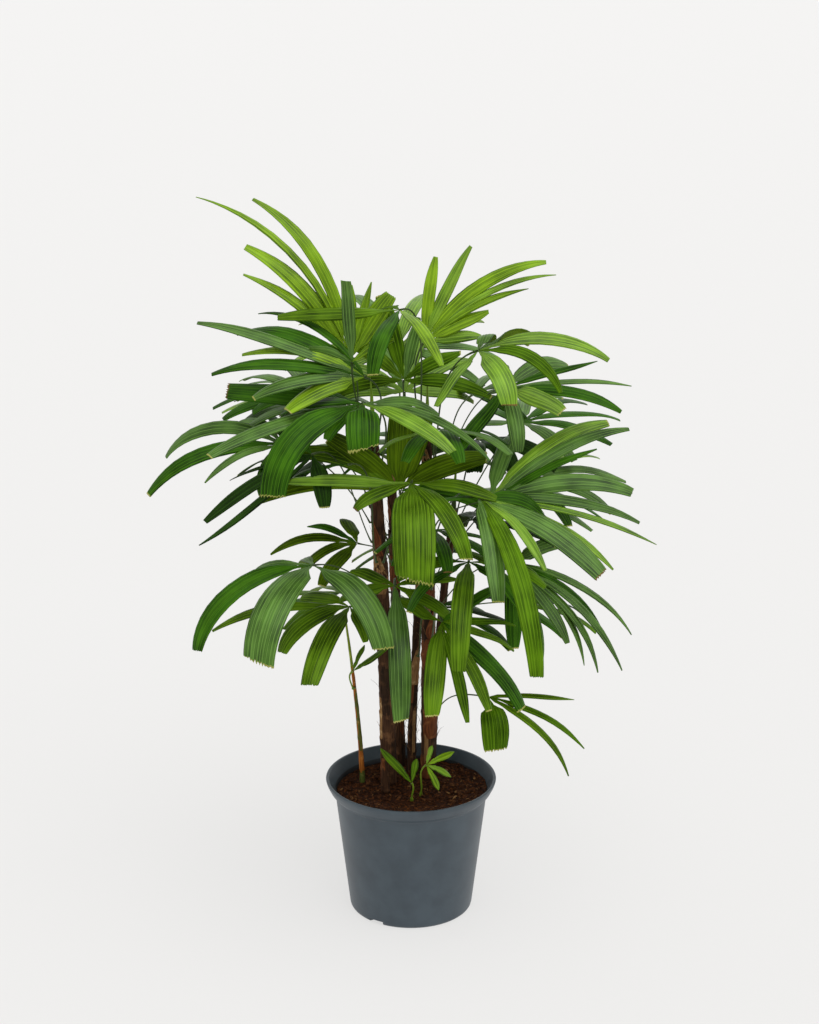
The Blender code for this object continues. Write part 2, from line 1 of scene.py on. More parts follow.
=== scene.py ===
# %% [markdown]
# # A lady palm in its nursery pot
#
# The plant is a clump of brown, fibrous canes. Each cane carries hand-shaped fronds on thin
# stalks, and a frond is cut to its hub into pleated leaflets with torn, blunt tips. The packed
# model is the fixed frame: it says where every cane, stalk and leaflet lies. This lesson grows
# a detailed plant on it and gives each surface a finish. Everything is in metres, +Z is up, and
# the origin is the centre of the pot's flat underside.

# %% Load the frame
import math
import random
from itertools import product

import bpy
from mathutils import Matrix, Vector, noise
from mathutils.bvhtree import BVHTree


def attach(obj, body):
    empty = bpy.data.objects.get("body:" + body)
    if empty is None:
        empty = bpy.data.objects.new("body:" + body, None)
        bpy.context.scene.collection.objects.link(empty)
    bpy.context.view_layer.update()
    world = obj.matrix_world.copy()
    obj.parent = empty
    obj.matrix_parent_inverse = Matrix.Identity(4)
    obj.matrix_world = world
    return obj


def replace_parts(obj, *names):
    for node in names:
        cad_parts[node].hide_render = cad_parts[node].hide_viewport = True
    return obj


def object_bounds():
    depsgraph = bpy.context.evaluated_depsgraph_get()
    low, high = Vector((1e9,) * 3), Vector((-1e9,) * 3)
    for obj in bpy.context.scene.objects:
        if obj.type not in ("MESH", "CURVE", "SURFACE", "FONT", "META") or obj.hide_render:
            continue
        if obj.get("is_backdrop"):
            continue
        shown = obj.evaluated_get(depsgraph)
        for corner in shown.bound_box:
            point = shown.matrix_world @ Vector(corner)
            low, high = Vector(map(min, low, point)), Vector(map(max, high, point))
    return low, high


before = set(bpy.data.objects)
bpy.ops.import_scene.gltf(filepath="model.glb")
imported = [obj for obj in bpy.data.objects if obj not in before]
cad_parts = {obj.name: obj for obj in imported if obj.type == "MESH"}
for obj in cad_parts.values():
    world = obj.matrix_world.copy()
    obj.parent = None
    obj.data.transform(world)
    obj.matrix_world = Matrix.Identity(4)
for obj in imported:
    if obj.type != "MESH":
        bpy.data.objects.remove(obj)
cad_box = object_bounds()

CM = 0.01
MM = 0.001
print("frame nodes:", len(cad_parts))

# %% [markdown]
# ## Camera
#
# The photograph looks down on the plant by seventeen degrees from about three metres away,
# with a short telephoto lens. Those numbers come from the pot: its rim and its foot are
# circles, and the way they flatten into ellipses gives the distance and the angle.

# %% Camera
CAMERA_AT = (-0.0023, -2.9188, 1.5218)
LOOKS_DOWN = 16.971
LENS_MM = 73.16
SENSOR_MM = 36
camera_data = bpy.data.cameras.new("camera")
camera_data.sensor_fit = "VERTICAL"
camera_data.sensor_height = SENSOR_MM
camera_data.lens = LENS_MM
camera_data.clip_end = 200
camera = bpy.data.objects.new("camera", camera_data)
camera.location = CAMERA_AT
camera.rotation_euler = (math.radians(90 - LOOKS_DOWN), 0, 0)
bpy.context.scene.collection.objects.link(camera)
bpy.context.scene.camera = camera
print("camera height", round(camera.location.z, 3))

# %% [markdown]
# ## Colours and nodes
#
# Hex colours are written the way a screen shows them, so one function turns them into the
# linear values that a renderer adds up. A second small function adds a shader node, sets its
# values and links its inputs. All the finishes of this plant are uneven in the same way, from a
# dark tone to a light one with a relief, so one more function lays a pattern on a skin.


# %% Helpers for colours and nodes
def linear(hex_colour):
    """An sRGB hex colour as linear RGBA."""
    parts = [int(hex_colour[k:k + 2], 16) / 255 for k in (1, 3, 5)]
    return (*(c / 12.92 if c <= 0.04045 else ((c + 0.055) / 1.055) ** 2.4 for c in parts), 1)


def add_node(tree, kind, settings=None, **inputs):
    """Adds a node, sets its properties, and fills or links its inputs by name."""
    node = tree.nodes.new(kind)
    for key, value in (settings or {}).items():
        setattr(node, key, value)
    for key, value in inputs.items():
        socket = node.inputs[key.replace("_", " ")]
        if isinstance(value, bpy.types.NodeSocket):
            tree.links.new(value, socket)
        else:
            socket.default_value = value
    return node


def new_material(name, roughness, ior=1.5, shine=0.5):
    """An empty material with its shader, ready for a colour and a bump."""
    made = bpy.data.materials.new(name)
    made.use_nodes = True
    shader = made.node_tree.nodes["Principled BSDF"]
    for socket, value in (("Roughness", roughness), ("IOR", ior), ("Specular IOR Level", shine)):
        shader.inputs[socket].default_value = value
    return made, made.node_tree, shader


def lay_pattern(tree, shader, pattern, limits, tones, relief, strength, depth):
    """Runs the colour from dark to light as a pattern rises, and gives the skin its relief."""
    spread = add_node(tree, "ShaderNodeMapRange", Value=pattern, From_Min=limits[0], From_Max=limits[1])
    mix = add_node(tree, "ShaderNodeMix", {"data_type": "RGBA"}, Factor=spread.outputs[0])
    for socket, tone in zip(mix.inputs[6:8], tones):
        socket.default_value = linear(tone)
    bump = add_node(tree, "ShaderNodeBump", Height=relief, Strength=strength, Distance=depth)
    tree.links.new(mix.outputs[2], shader.inputs["Base Color"])
    tree.links.new(bump.outputs[0], shader.inputs["Normal"])
    return mix.outputs[2]


# %% [markdown]
# ## Floor and light
#
# The plant stands on a plain pale floor that runs out of view in every direction. The
# photograph's floor is so bright that the plant's shadow is almost lost, so the paper here
# gives off a part of its brightness itself. An even white sky fills the shadows, and one broad
# sun from the upper right and front gives the leaves their sheen and the pot its slightly
# lighter right side.

# %% Floor, sky and sun
FLOOR_WHITE = "#706F6E"
FLOOR_GLOW = 0.64
SKY_GLOW = 0.85
SUN_STRENGTH = 1.6
SUN_WIDTH = 60
SUN_TILT, SUN_TURN = 26, 30
FAR = 60
floor_mesh = bpy.data.meshes.new("floor")
floor_mesh.from_pydata([(-FAR, -FAR, 0), (FAR, -FAR, 0), (FAR, FAR, 0), (-FAR, FAR, 0)], [],
                       [(0, 1, 2, 3)])
floor = bpy.data.objects.new("floor", floor_mesh)
bpy.context.scene.collection.objects.link(floor)
paper, _, paper_shader = new_material("studio_paper", 0.9)
paper_shader.inputs["Base Color"].default_value = linear(FLOOR_WHITE)
paper_shader.inputs["Emission Color"].default_value = (1, 0.995, 0.985, 1)
paper_shader.inputs["Emission Strength"].default_value = FLOOR_GLOW
floor_mesh.materials.append(paper)
floor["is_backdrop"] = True

sky = bpy.data.worlds.new("studio_sky")
sky.use_nodes = True
sky.node_tree.nodes["Background"].inputs["Color"].default_value = (1, 1, 1, 1)
sky.node_tree.nodes["Background"].inputs["Strength"].default_value = SKY_GLOW
bpy.context.scene.world = sky

sun_data = bpy.data.lights.new("broad_sun", "SUN")
sun_data.energy = SUN_STRENGTH
sun_data.angle = math.radians(SUN_WIDTH)
sun = bpy.data.objects.new("broad_sun", sun_data)
sun.rotation_euler = (math.radians(SUN_TILT), 0, math.radians(SUN_TURN))
bpy.context.scene.collection.objects.link(sun)
bpy.context.scene.view_settings.view_transform = "Standard"
print("floor colour", [round(c, 2) for c in linear(FLOOR_WHITE)[:3]])

# %% [markdown]
# ## The plant's table
#
# A palm has few parts, so a short table describes it well: seven canes and shoots, the fronds
# that each one carries, and two small suckers by the foot. A frond's row gives the cane, the
# height where its stalk leaves it, the hub where the leaflets meet, and the blade's compass
# direction, pitch and roll. Then come its leaflets, with their swing, length, width, droop and
# the turn about their own line. Lengths are in centimetres and angles in degrees, as they are in
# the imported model.

# %% Canes
# Foot (x, y), tip (x, y), height, foot radius and tip radius
CANES = {
    "cane_front_left": ((-3.4, 2.9), (-5.6, 1.6), 76, 1.25, 0.75),
    "cane_right": ((2.7, 5.0), (2.4, 3.6), 75, 1.2, 0.65),
    "cane_back_left": ((-1.8, 9.2), (-3.0, 12.5), 66, 0.95, 0.6),
    "cane_middle": ((0.05, 6.6), (1.8, 9.0), 58, 0.7, 0.5),
    "cane_back_right": ((3.1, 8.8), (6.5, 12.5), 60, 0.8, 0.5),
    "cane_stub": ((-3.9, -0.4), (-4.2, -0.9), 24.5, 0.55, 0.4),
    "shoot_left": ((-7.5, 2.9), (-9.9, 2.4), 46, 0.42, 0.15),
}
FULL_CANES = [name for name in CANES if name not in ("cane_stub", "shoot_left")]
print("canes:", len(FULL_CANES), "and a stub and a shoot")


# %% Fronds and suckers
def fan(count, spread, longest):
    """A regular blade: leaflets evenly spread, the middle ones longest."""
    swings = [spread * (k / (count - 1) - 0.5) for k in range(count)]
    return tuple((s, longest * (1 - 0.3 * abs(2 * s / spread) ** 1.5)) for s in swings)


FRONDS = {
    # Crown top
    "frond_top_left": ("cane_front_left", 73, (-8.7, 2.0, 85.7), 178, 62, -80, (
        (-55, 9.5, 3.0, 15), (-42, 10, 1.3, 5), (-28, 9.2, 1.8, 0), (-17, 26.5, 1.9, 54),
        (-8, 32, 1.2, 60), (1, 21, 2.4, 34), (10, 18.5, 1.6, 32))),
    "frond_top_right": ("cane_right", 73, (1.9, 3.0, 87.9), 0, 55, 80, (
        (-42, 7, 1.8, 15), (-24, 9, 2.0, 12), (-14, 15.8, 1.2, 34), (-10, 20.5, 1.0, 45),
        (-2, 20.3, 2.0, 50), (14, 14, 1.9, 12), (29, 11, 1.9, 4))),
    "frond_bar": ("cane_right", 71, (-1.6, -3.0, 93.8), 225, -8, 0, (
        (-110, 10, 2.2, 40), (-55, 16.5, 2.2, 2, -38), (26, 13, 2.8, 62), (66, 15.5, 1.9, 34))),
    "frond_centre_top": ("cane_right", 69, (-1.1, 2.0, 82.5), 80, 78, 0, (
        (-95, 12, 2.2, 50), (-55, 8, 2.2, 20), (-20, 8, 2.0, 10), (15, 11.5, 2.6, 10),
        (50, 9, 2.2, 20), (95, 12, 2.2, 50))),
    # Front of the crown
    "frond_front_upper": ("cane_front_left", 70, (-6.9, -10.0, 81.9), 265, -3, 0, (
        (-115, 13, 2.2, 40, -25), (-48, 19.5, 4.2, 88, -32), (8, 8.2, 4.8, 88),
        (60, 15, 2.6, 40, 25), (82, 19, 1.6, 54, 30), (125, 12, 2.0, 40, 25))),
    "frond_front_top": ("cane_front_left", 72, (-8.3, -7.5, 87.3), 270, 86, 0, (
        (-62, 5, 1.3, 30), (-3, 10.4, 1.9, 5), (52, 5.5, 1.3, 30))),
    "frond_front_right": ("cane_right", 56, (9.5, -12.0, 69.0), 300, -12, 0, (
        (-105, 10, 1.4, 14), (-20, 18, 2.9, 62), (-11, 30, 3.0, 72), (12, 14.5, 2.0, 46),
        (24, 20, 3.4, 30, 25), (39, 20.5, 1.5, 36, 15), (80, 10, 2.6, 50, 35))),
    "frond_front_centre": ("cane_front_left", 55, (0.0, -12.0, 71.0), 262, -6, 0, (
        (-92, 17, 2.3, 4, -30), (-56, 8, 2.2, 40, -30), (10, 17, 6.0, 84), (36, 15, 3.2, 70),
        (95, 11, 2.4, 50, 35))),
    "frond_mid_hanging": ("cane_right", 50, (8.2, -10.0, 58.7), 262, 0, 0, (
        (-95, 10, 2.4, 50, -30), (-40, 12, 2.4, 60), (2, 20, 3.0, 88), (50, 12, 2.6, 60, 15),
        (100, 11, 2.4, 50, 30))),
    "frond_front_low": ("cane_front_left", 43, (-2.3, -9.0, 54.8), 270, -36, 0, (
        (-120, 6, 2.2, 20), (-84, 7, 2.6, 30), (4, 19.3, 3.2, 52), (60, 9, 2.4, 40),
        (110, 8, 2.0, 30))),
    "frond_centre_low": ("cane_right", 41, (4.4, -13.0, 50.8), 290, -30, 0, (
        (-125, 6.5, 2.4, 10), (-24, 14, 3.0, 40), (-10, 15, 1.8, 30), (1, 14, 2.2, 30),
        (33, 16, 3.3, 34), (66, 10, 1.8, 30), (86, 10, 1.8, 20), (118, 12, 1.8, 5))),
    # Left side
    "frond_upper_left": ("cane_front_left", 67, (-6.6, -5.0, 84.6), 180, 20, -50, (
        (-40, 19.5, 1.3, 62), (-29, 19, 2.8, 52), (-17, 17, 2.0, 40), (-6, 23.5, 2.0, 18),
        (6, 20.5, 2.2, 34), (18, 15, 2.4, 38), (32, 11, 3.0, 36))),
    "frond_left_shelf": ("cane_front_left", 65, (-6.8, -2.0, 79.9), 188, 5, -10, (
        (-33, 18, 2.4, 50, -40), (0, 18.5, 3.8, 4, -38), (19, 24.5, 2.4, 22, -28),
        (47, 8, 2.4, 60))),
    "frond_left_mid": ("cane_front_left", 61, (-18.4, -2.0, 73.9), 182, 14, -30, (
        (-70, 9, 1.8, 60), (-46, 9, 1.6, 60, -20), (-18, 19, 2.2, 84, -38),
        (16, 20.5, 2.4, 58, -22), (26, 12, 1.4, 52), (70, 8, 2.6, 70))),
    "frond_left_lower": ("cane_front_left", 58, (-14.2, -5.0, 73.2), 208, -18, -20, (
        (-95, 8, 2.0, 50), (-28, 11, 1.0, 40), (-2, 17, 2.0, 20, -20),
        (24, 22.5, 1.2, 14, -10), (75, 8, 2.6, 60))),
    "frond_low_left": ("cane_front_left", 47, (-14.0, -10.0, 58.2), 220, 4, 0, (
        (-115, 9, 1.6, 50, -20), (-60, 11, 1.6, 60, -35), (-16, 21.5, 3.0, 88, -35),
        (24, 19.5, 5.2, 88), (94, 17.5, 3.9, 80, 25))),
    "frond_low_left_back": ("cane_back_left", 40, (-9.0, -4.0, 49.8), 205, 4, -10, (
        (-60, 8, 2.4, 40, -25), (-18, 19.5, 1.7, 38, -35), (4, 12, 3.0, 76, -25),
        (45, 16, 3.4, 50), (90, 6, 2.0, 60))),
    "frond_inner_left": ("cane_back_left", 52, (-8.0, 4.0, 57.0), 180, 14, -20, (
        (-70, 7), (-30, 8, 1.2, 40, -20), (0, 12.5, 1.5, 58, -25), (26, 10.5, 2.0, 84), (60, 9))),
    "frond_olive": ("cane_middle", 57, (-1.6, -2.0, 67.0), 95, 88, 0, (
        (-88, 15, 2.4, 50), (-46, 12.5, 3.4, 32), (-14, 11.5, 3.9, 8), (16, 12, 3.7, 4),
        (42, 12, 3.2, 16), (58, 17, 2.6, 68), (75, 19.5, 2.3, 46))),
    # Right side
    "frond_upper_right": ("cane_right", 67, (9.4, -6.0, 88.6), 350, 16, 20, (
        (-124, 10, 2.0, 22), (-58, 10.5, 3.4, 66), (-14, 13.5, 2.0, 86, 22),
        (9, 18, 2.2, 60, 32), (42, 9, 3.0, 68, -50), (80, 8, 2.4, 76))),
    "frond_right_shelf": ("cane_right", 65, (13.5, 0.0, 81.8), 0, 8, 30, (
        (-125, 12, 2.4, 0), (-80, 9.5, 2.5, 66), (-26, 8, 3.2, 32, 15), (-12, 16, 1.9, 36, 20),
        (-3, 17, 1.0, 20, 15), (16, 13, 1.2, 8, 15), (42, 12, 2.6, 50, 25), (90, 8, 2.4, 60))),
    "frond_right_mid": ("cane_right", 59, (11.5, -5.0, 66.7), 0, 20, 50, (
        (-38, 11, 1.4, 6), (-28, 23.5, 1.0, 22), (-17, 20.5, 1.9, 34), (-8, 19.5, 2.8, 44, 12),
        (5, 15.5, 1.4, 14), (15, 22, 2.0, 36, 15), (30, 20.5, 2.6, 40, 10), (62, 12, 2.6, 60))),
    "frond_low_right": ("cane_right", 46, (14.9, 0.0, 55.2), 350, -8, 40, (
        (-76, 12, 2.6, 40), (-56, 14, 2.0, 40), (-42, 13.5, 2.0, 30), (-32, 20, 1.4, 56),
        (-24, 18, 1.1, 58), (-18, 22, 1.5, 50), (-9, 16, 1.1, 52), (-2, 20, 1.3, 52),
        (48, 9, 2.4, 30, 15))),
    "frond_lowest_right": ("cane_right", 30, (11.5, -3.0, 35.2), 345, -2, 30, (
        (-64, 7.6, 4.2, 76), (-20, 16.3, 1.3, 58), (-8, 15.3, 1.3, 40), (12, 11.5, 1.0, 12))),
    "frond_dark_right": ("cane_back_right", 59, (9.8, 8.0, 71.9), 280, 10, 0, (
        (-90, 12, 3.2, 55, -30), (-50, 11, 3.2, 60), (-14, 9, 3.2, 66), (24, 9, 3.2, 66, 15),
        (66, 12, 3.0, 55, 32), (110, 14, 2.4, 40, 25))),
    "frond_shoot": ("shoot_left", 34.5, (-8.8, 0.5, 37.9), 357, 38, 30, (
        (0, 5.6, 1.3, 6), (48, 3.5, 0.9, 20))),
    # Inside of the crown
    "frond_inner_top": ("cane_back_left", 66, (-1, 9, 79), 100, 50, 0, fan(6, 170, 14)),
    "frond_inner_top_left": ("cane_front_left", 63, (-11, 7, 77), 160, 15, 0, fan(5, 150, 15)),
    "frond_inner_top_right": ("cane_right", 62, (9, 7, 79), 30, 20, 0, fan(5, 150, 14)),
    "frond_inner_front_top": ("cane_right", 61, (4, -5, 77), 285, 10, 0, fan(5, 150, 13)),
    "frond_inner_left_front": ("cane_front_left", 55, (-9, -6, 72), 215, -5, 0, fan(3, 90, 11)),
    "frond_inner_right": ("cane_right", 52, (9, 3, 61), 15, 5, 0, fan(5, 150, 14)),
    "frond_inner_front": ("cane_middle", 50, (3, -5, 62), 280, 5, 0, fan(5, 150, 12)),
    "frond_right_back": ("cane_back_right", 55, (17, 9, 66), 10, 10, 20, fan(5, 130, 15)),
    "frond_left_back": ("cane_back_left", 56, (-15, 9, 79), 175, 5, -20, fan(5, 130, 14)),
    "frond_inner_low": ("cane_middle", 38, (4, 1, 48), 350, -5, 0, fan(4, 120, 13)),
    # Back of the crown
    "frond_back_upper": ("cane_back_left", 65, (-2, 17, 84), 95, 30, 0, fan(8, 220, 19)),
    "frond_back_left": ("cane_back_left", 62, (-13, 16, 76), 140, 15, 0, fan(7, 200, 16)),
    "frond_back_right": ("cane_back_right", 57.5, (17, 18, 72), 50, 15, 0, fan(7, 200, 16)),
    "frond_back_centre": ("cane_back_left", 59, (2, 20, 68), 90, 5, 0, fan(7, 210, 18)),
    "frond_back_left_mid": ("cane_back_left", 55, (-12, 18, 67), 135, 0, 0, fan(7, 200, 16)),
    "frond_back_right_mid": ("cane_back_right", 53, (15, 18, 60), 45, 0, 0, fan(7, 200, 16)),
    "frond_back_low": ("cane_middle", 46, (3, 18, 52), 85, -5, 0, fan(7, 210, 16)),
    "frond_back_low_left": ("cane_back_left", 43, (-11, 16, 45), 130, -5, 0, fan(6, 190, 16)),
    "frond_back_low_right": ("cane_back_right", 42, (15, 15, 44), 50, -5, 0, fan(6, 190, 16)),
}

# Suckers: foot on the mix, and a small frond on a short stem. Same order as above, with
# the foot (x, y) in place of the cane and height.
SUCKERS = {
    "sucker_left": ((0.1, -3.8), (0.1, -4.2, 21.7), 175, 52, -60, (
        (-52, 2.4, 1.1, 5), (0, 5.9, 1.3, 8))),
    "sucker_right": ((1.5, -2.0), (2.3, -3.6, 24.4), 0, 30, 50, (
        (-85, 3, 1.0, 16), (-45, 3, 1.0, 30), (0, 3.4, 1.1, 8), (50, 1.8, 0.8, 10))),
}
print("fronds:", len(FRONDS), "suckers:", len(SUCKERS))

# %% [markdown]
# ## Where the leaflets lie
#
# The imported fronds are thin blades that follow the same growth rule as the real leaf: a leaflet
# leaves the hub at its swing, sets off in the plane of the blade and droops more and more towards
# its tip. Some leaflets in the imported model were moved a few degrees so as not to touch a
# neighbour. So each rule is tried here with the same small moves, and the one whose edges lie on
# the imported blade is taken. A fine leaflet then grows along exactly that line.

# %% The growth rule
PATH_STEPS = 24
TWIST = 0.55
TURNED_BY = 0.3
STALK_COLLAR = 5 * MM
HUB_RADIUS = 14 * MM
WIDEST_JOIN = 34
GAP = 0.3 * MM
UPRIGHT = 12 * MM
MIX_TOP = 186 * MM
UP = Vector((0, 0, 1))
SWING_MOVES = (0, 4, -4, 8, -8, 13, -13, 18, -18)
DROOP_MOVES = (0, 7, -7, 14, -14, 24, -24)
LENGTHS_KEPT = (1.0, 0.85, 0.7, 0.5)
LEAF_MOVES = sorted(product(LENGTHS_KEPT, SWING_MOVES, DROOP_MOVES),
                    key=lambda m: (-m[0], abs(m[1]) + abs(m[2]) * 0.7))
STALK_MOVES = list(product((0, 0.8, -0.8, 1.6, 2.4, 3.2), (0, 30, -30, 60, -60, 90, -90),
                           (0, 0.15, -0.15, 0.3, -0.3)))


def direction(azimuth, pitch):
    """A unit vector towards a compass direction and a pitch, in degrees."""
    a = math.radians(azimuth)
    p = math.radians(pitch)
    return Vector((math.cos(a) * math.cos(p), math.sin(a) * math.cos(p), math.sin(p)))


def blade_axes(azimuth, pitch, roll):
    """The blade's middle line, its side and its upper face's normal."""
    along = direction(azimuth, pitch)
    level = direction(azimuth + 90, 0)
    face = along.cross(level)
    r = math.radians(roll)
    side = level * math.cos(r) + face * math.sin(r)
    return along, side, along.cross(side)


def leaf_path(base, heading, side, length, droop, turn):
    """Points, directions and sides along a leaflet that bends down under its weight."""
    azimuth = math.degrees(math.atan2(heading.y, heading.x))
    pitch = math.degrees(math.asin(max(-1.0, min(1.0, heading.z))))
    level = direction(azimuth + 90, 0)
    if level.dot(side) < 0:
        level = -level
    path = []
    point = base.copy()
    for step in range(PATH_STEPS + 1):
        t = step / PATH_STEPS
        along = direction(azimuth, max(pitch - droop * t ** 1.3, -88))
        across = side.lerp(level, TWIST * t)
        across = (across - along * across.dot(along)).normalized()
        a = math.radians(turn) * min(1.0, t / TURNED_BY)
        across = across * math.cos(a) + along.cross(across) * math.sin(a)
        path.append((point.copy(), along, across))
        point += along * (length / PATH_STEPS)
    return path


def hub_corners(hub, along, side, swings):
    """Where each leaflet joins the hub: a pair of corners on its round edge."""
    corners = []
    for k, swing in enumerate(swings):
        before = swing - swings[k - 1] if k else WIDEST_JOIN
        after = swings[k + 1] - swing if k + 1 < len(swings) else WIDEST_JOIN
        pair = []
        for angle in (swing - min(before, WIDEST_JOIN) / 2, swing + min(after, WIDEST_JOIN) / 2):
            a = math.radians(angle)
            pair.append(hub + (along * math.cos(a) + side * math.sin(a)) * HUB_RADIUS)
        corners.append(pair)
    return corners


def tree_of(node):
    """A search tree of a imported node's mesh."""
    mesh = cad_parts[node].data
    return BVHTree.FromPolygons([v.co.copy() for v in mesh.vertices],
                                [tuple(p.vertices) for p in mesh.polygons])


def lies_on(tree, points, reach=1.0 * MM):
    """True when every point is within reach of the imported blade's skin."""
    return all(tree.find_nearest(p, reach)[0] is not None for p in points)


# %% Leaflets found on their packed blade
# Each move is tested at two places along the leaflet, by the share of its width that it has there.
def found_leaf(tree, pair, along, side, leaf):
    """The leaflet's path and width, as its packed blade has them."""
    swing, length, width, droop, turn = (*leaf, *(2.4, 40, 0)[len(leaf) - 2:])
    base = (pair[0] + pair[1]) / 2
    checks = ((0.55 if length < 13 else 0.7, 1.0), (1.0, 0.42))
    for kept, swing_move, droop_move in LEAF_MOVES:
        a = math.radians(swing + swing_move)
        heading = along * math.cos(a) + side * math.sin(a)
        across = side * math.cos(a) - along * math.sin(a)
        path = leaf_path(base, heading, across, length * CM * kept, droop + droop_move, turn)
        edges = []
        for t, share in checks:
            point, _, sideways = path[round(t * PATH_STEPS)]
            edges += [point + sideways * width * CM * share / 2 * s for s in (-1, 1)]
        if lies_on(tree, edges):
            return path, width * CM
    return None


# %% Canes and stalks found on the frame
def cane_axis(foot, tip, height):
    """Points up a cane: upright over its foot, then a slow lean to its tip."""
    low = Vector((*foot, 0)) * CM + UP * (MIX_TOP + GAP)
    high = Vector((*tip, height)) * CM
    rise = high.z - low.z - UPRIGHT
    points = [low]
    for k in range(6):
        t = k / 5
        lean = t ** 1.4
        points.append(Vector((low.x + (high.x - low.x) * lean, low.y + (high.y - low.y) * lean,
                              low.z + UPRIGHT + rise * t)))
    return points


def axis_at(cane, z):
    """The cane's centre at a height."""
    points = cane_axis(*CANES[cane][:3])
    for a, b in zip(points, points[1:]):
        if a.z <= z <= b.z:
            return a.lerp(b, (z - a.z) / (b.z - a.z))
    return points[-1]


def radius_at(cane, z):
    """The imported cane's radius at a height."""
    _, _, height, low, high = CANES[cane]
    share = (z - MIX_TOP) / (height * CM - MIX_TOP)
    return (low + (high - low) * share) * CM


def found_stalk(tree, cane_tree, foot, hub, along, side):
    """The stalk's curve, as its packed blade has it: start, collar and four curve handles."""
    to_hub = math.degrees(math.atan2(hub.y - foot.y, hub.x - foot.x))
    for drop, turn, bow in STALK_MOVES:
        outward = direction(to_hub + turn, 0)
        start, collar = foot, UP
        if cane_tree is not None:
            level = foot - UP * drop * CM
            hit, normal, _, _ = cane_tree.ray_cast(level + outward * 0.1, -outward)
            outward = Vector((normal.x, normal.y, 0)).normalized()
            start, collar = hit + outward * GAP, outward
        reach = (hub - start).length
        across = direction(math.degrees(math.atan2(outward.y, outward.x)) + 90, 0)
        across = -across if across.dot(side) < 0 else across
        clear = start + collar * STALK_COLLAR
        leave = clear + (outward * 0.45 + UP * 0.9 + across * bow) * reach * 0.35
        arrive = hub - along * reach * 0.3 + across * bow * reach * 0.35
        middle = (clear + leave * 3 + arrive * 3 + hub) / 8
        if lies_on(tree, [start, clear, middle], 1.2 * MM):
            return start, across, (clear, leave, arrive, hub)
    return start, across, (clear, leave, arrive, hub)


# %% Read every frond off the frame
plan = {}
missing = 0
for name, row in {**SUCKERS, **FRONDS}.items():
    tree = tree_of(name)
    hub = Vector(row[-5]) * CM
    along, side, face = blade_axes(*row[-4:-1])
    if name in FRONDS:
        cane_tree, foot = tree_of(row[0]), axis_at(row[0], row[1] * CM)
    else:
        cane_tree, foot = None, Vector((*row[0], 0)) * CM + UP * (MIX_TOP + GAP)
    stalk = found_stalk(tree, cane_tree, foot, hub, along, side)
    leaves = sorted(row[-1])
    pairs = hub_corners(hub, along, side, [leaf[0] for leaf in leaves])
    found = [(leaf[0], pair, found_leaf(tree, pair, along, side, leaf))
             for pair, leaf in zip(pairs, leaves)]
    missing += sum(f is None for _, _, f in found)
    plan[name] = {"hub": hub, "along": along, "side": side, "face": face, "stalk": stalk,
                  "leaves": [(swing, pair, *f) for swing, pair, f in found if f]}
print("leaflets:", sum(len(p["leaves"]) for p in plan.values()), "not on the frame:", missing)

# %% [markdown]
# ## Joined pieces
#
# Thousands of leaf faces are lighter on Blender as a few joined meshes than as thousands of
# objects. This small class gathers grids and tubes of points, each face with the number of its
# finish and each point with a place on the flattened leaf, and makes one mesh of them at the end.

# %% A gatherer for joined meshes
class Joined:
    """One joined piece, gathered grid by grid before its mesh is made."""

    def __init__(self, name, slot, finishes):
        self.name, self.slot, self.finishes = name, slot, finishes
        self.points, self.faces, self.finish, self.flat = [], [], [], []

    def grid(self, rows, finish_of, flat=None, ring=False):
        """Rows of points joined by faces. A ring closes each row on itself."""
        start, count = len(self.points), len(rows[0])
        for r, row in enumerate(rows):
            self.points += [tuple(p) for p in row]
            self.flat += flat[r] if flat else [(c * MM, r * MM) for c in range(count)]
        for r in range(len(rows) - 1):
            for c in range(count if ring else count - 1):
                a, b = start + r * count + c, start + r * count + (c + 1) % count
                self.faces.append((a, a + count, b + count, b))
                self.finish.append(finish_of(r, c))
        return start

    def cap(self, start, count, finish):
        """Closes the ring of points that begins at a number."""
        self.faces.append(tuple(range(start, start + count)))
        self.finish.append(finish)

    def tube(self, rows, finish_of, first, last, flat=None):
        """Rings joined to a tube, each end closed with its own finish."""
        start, count = self.grid(rows, finish_of, flat, ring=True), len(rows[0])
        self.cap(start, count, first)
        self.cap(len(self.points) - count, count, last)

    def make(self, thickness=0.0, smooth=True):
        """The mesh object, on the plant's body."""
        mesh = bpy.data.meshes.new(self.name)
        mesh.from_pydata(self.points, [], self.faces)
        for finish in self.finishes:
            mesh.materials.append(finish)
        mesh.polygons.foreach_set("material_index", self.finish)
        mesh.polygons.foreach_set("use_smooth", [smooth] * len(self.faces))
        layer = mesh.uv_layers.new(name="flattened")
        corners = [self.flat[loop.vertex_index] for loop in mesh.loops]
        layer.data.foreach_set("uv", [c for pair in corners for c in pair])
        mesh.validate()
        piece = bpy.data.objects.new(self.name, mesh)
        bpy.context.scene.collection.objects.link(piece)
        if thickness:
            skin = piece.modifiers.new("leaf_thickness", "SOLIDIFY")
            skin.thickness = thickness
            skin.offset = -1
            skin.material_offset = len(self.finishes) // 2
            skin.material_offset_rim = 0
        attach(piece, "root")
        print(self.name, len(self.faces), "faces")
        return piece


# %% [markdown]
# ## Leaf tissue
#
# A palm leaflet is a stiff, waxy skin over parallel fibres. The eye gets a semi-gloss green
# with fine streaks from hub to tip, a slightly paler rib along the crest of each pleat, and a
# duller, yellower underside. The oldest tips dry to straw or brown. The top of the plant is
# young and bright, and its bright green is partly painted light, for the light that shines
# through the young leaves. Lower fronds are deeper, and the darkest, near-black family is painted
# shade for leaves that lie in shadow inside the crown. Each frond takes one family of plain
# greens, and the streaks come from a noise stretched along the leaflet. Real veins are half a
# millimetre apart. They are drawn 2.5 mm apart here so that they still show at this distance.

# %% Leaf finishes
# Streaks in a metre across and along the leaflet.
STREAKS = (400, 12, 1)


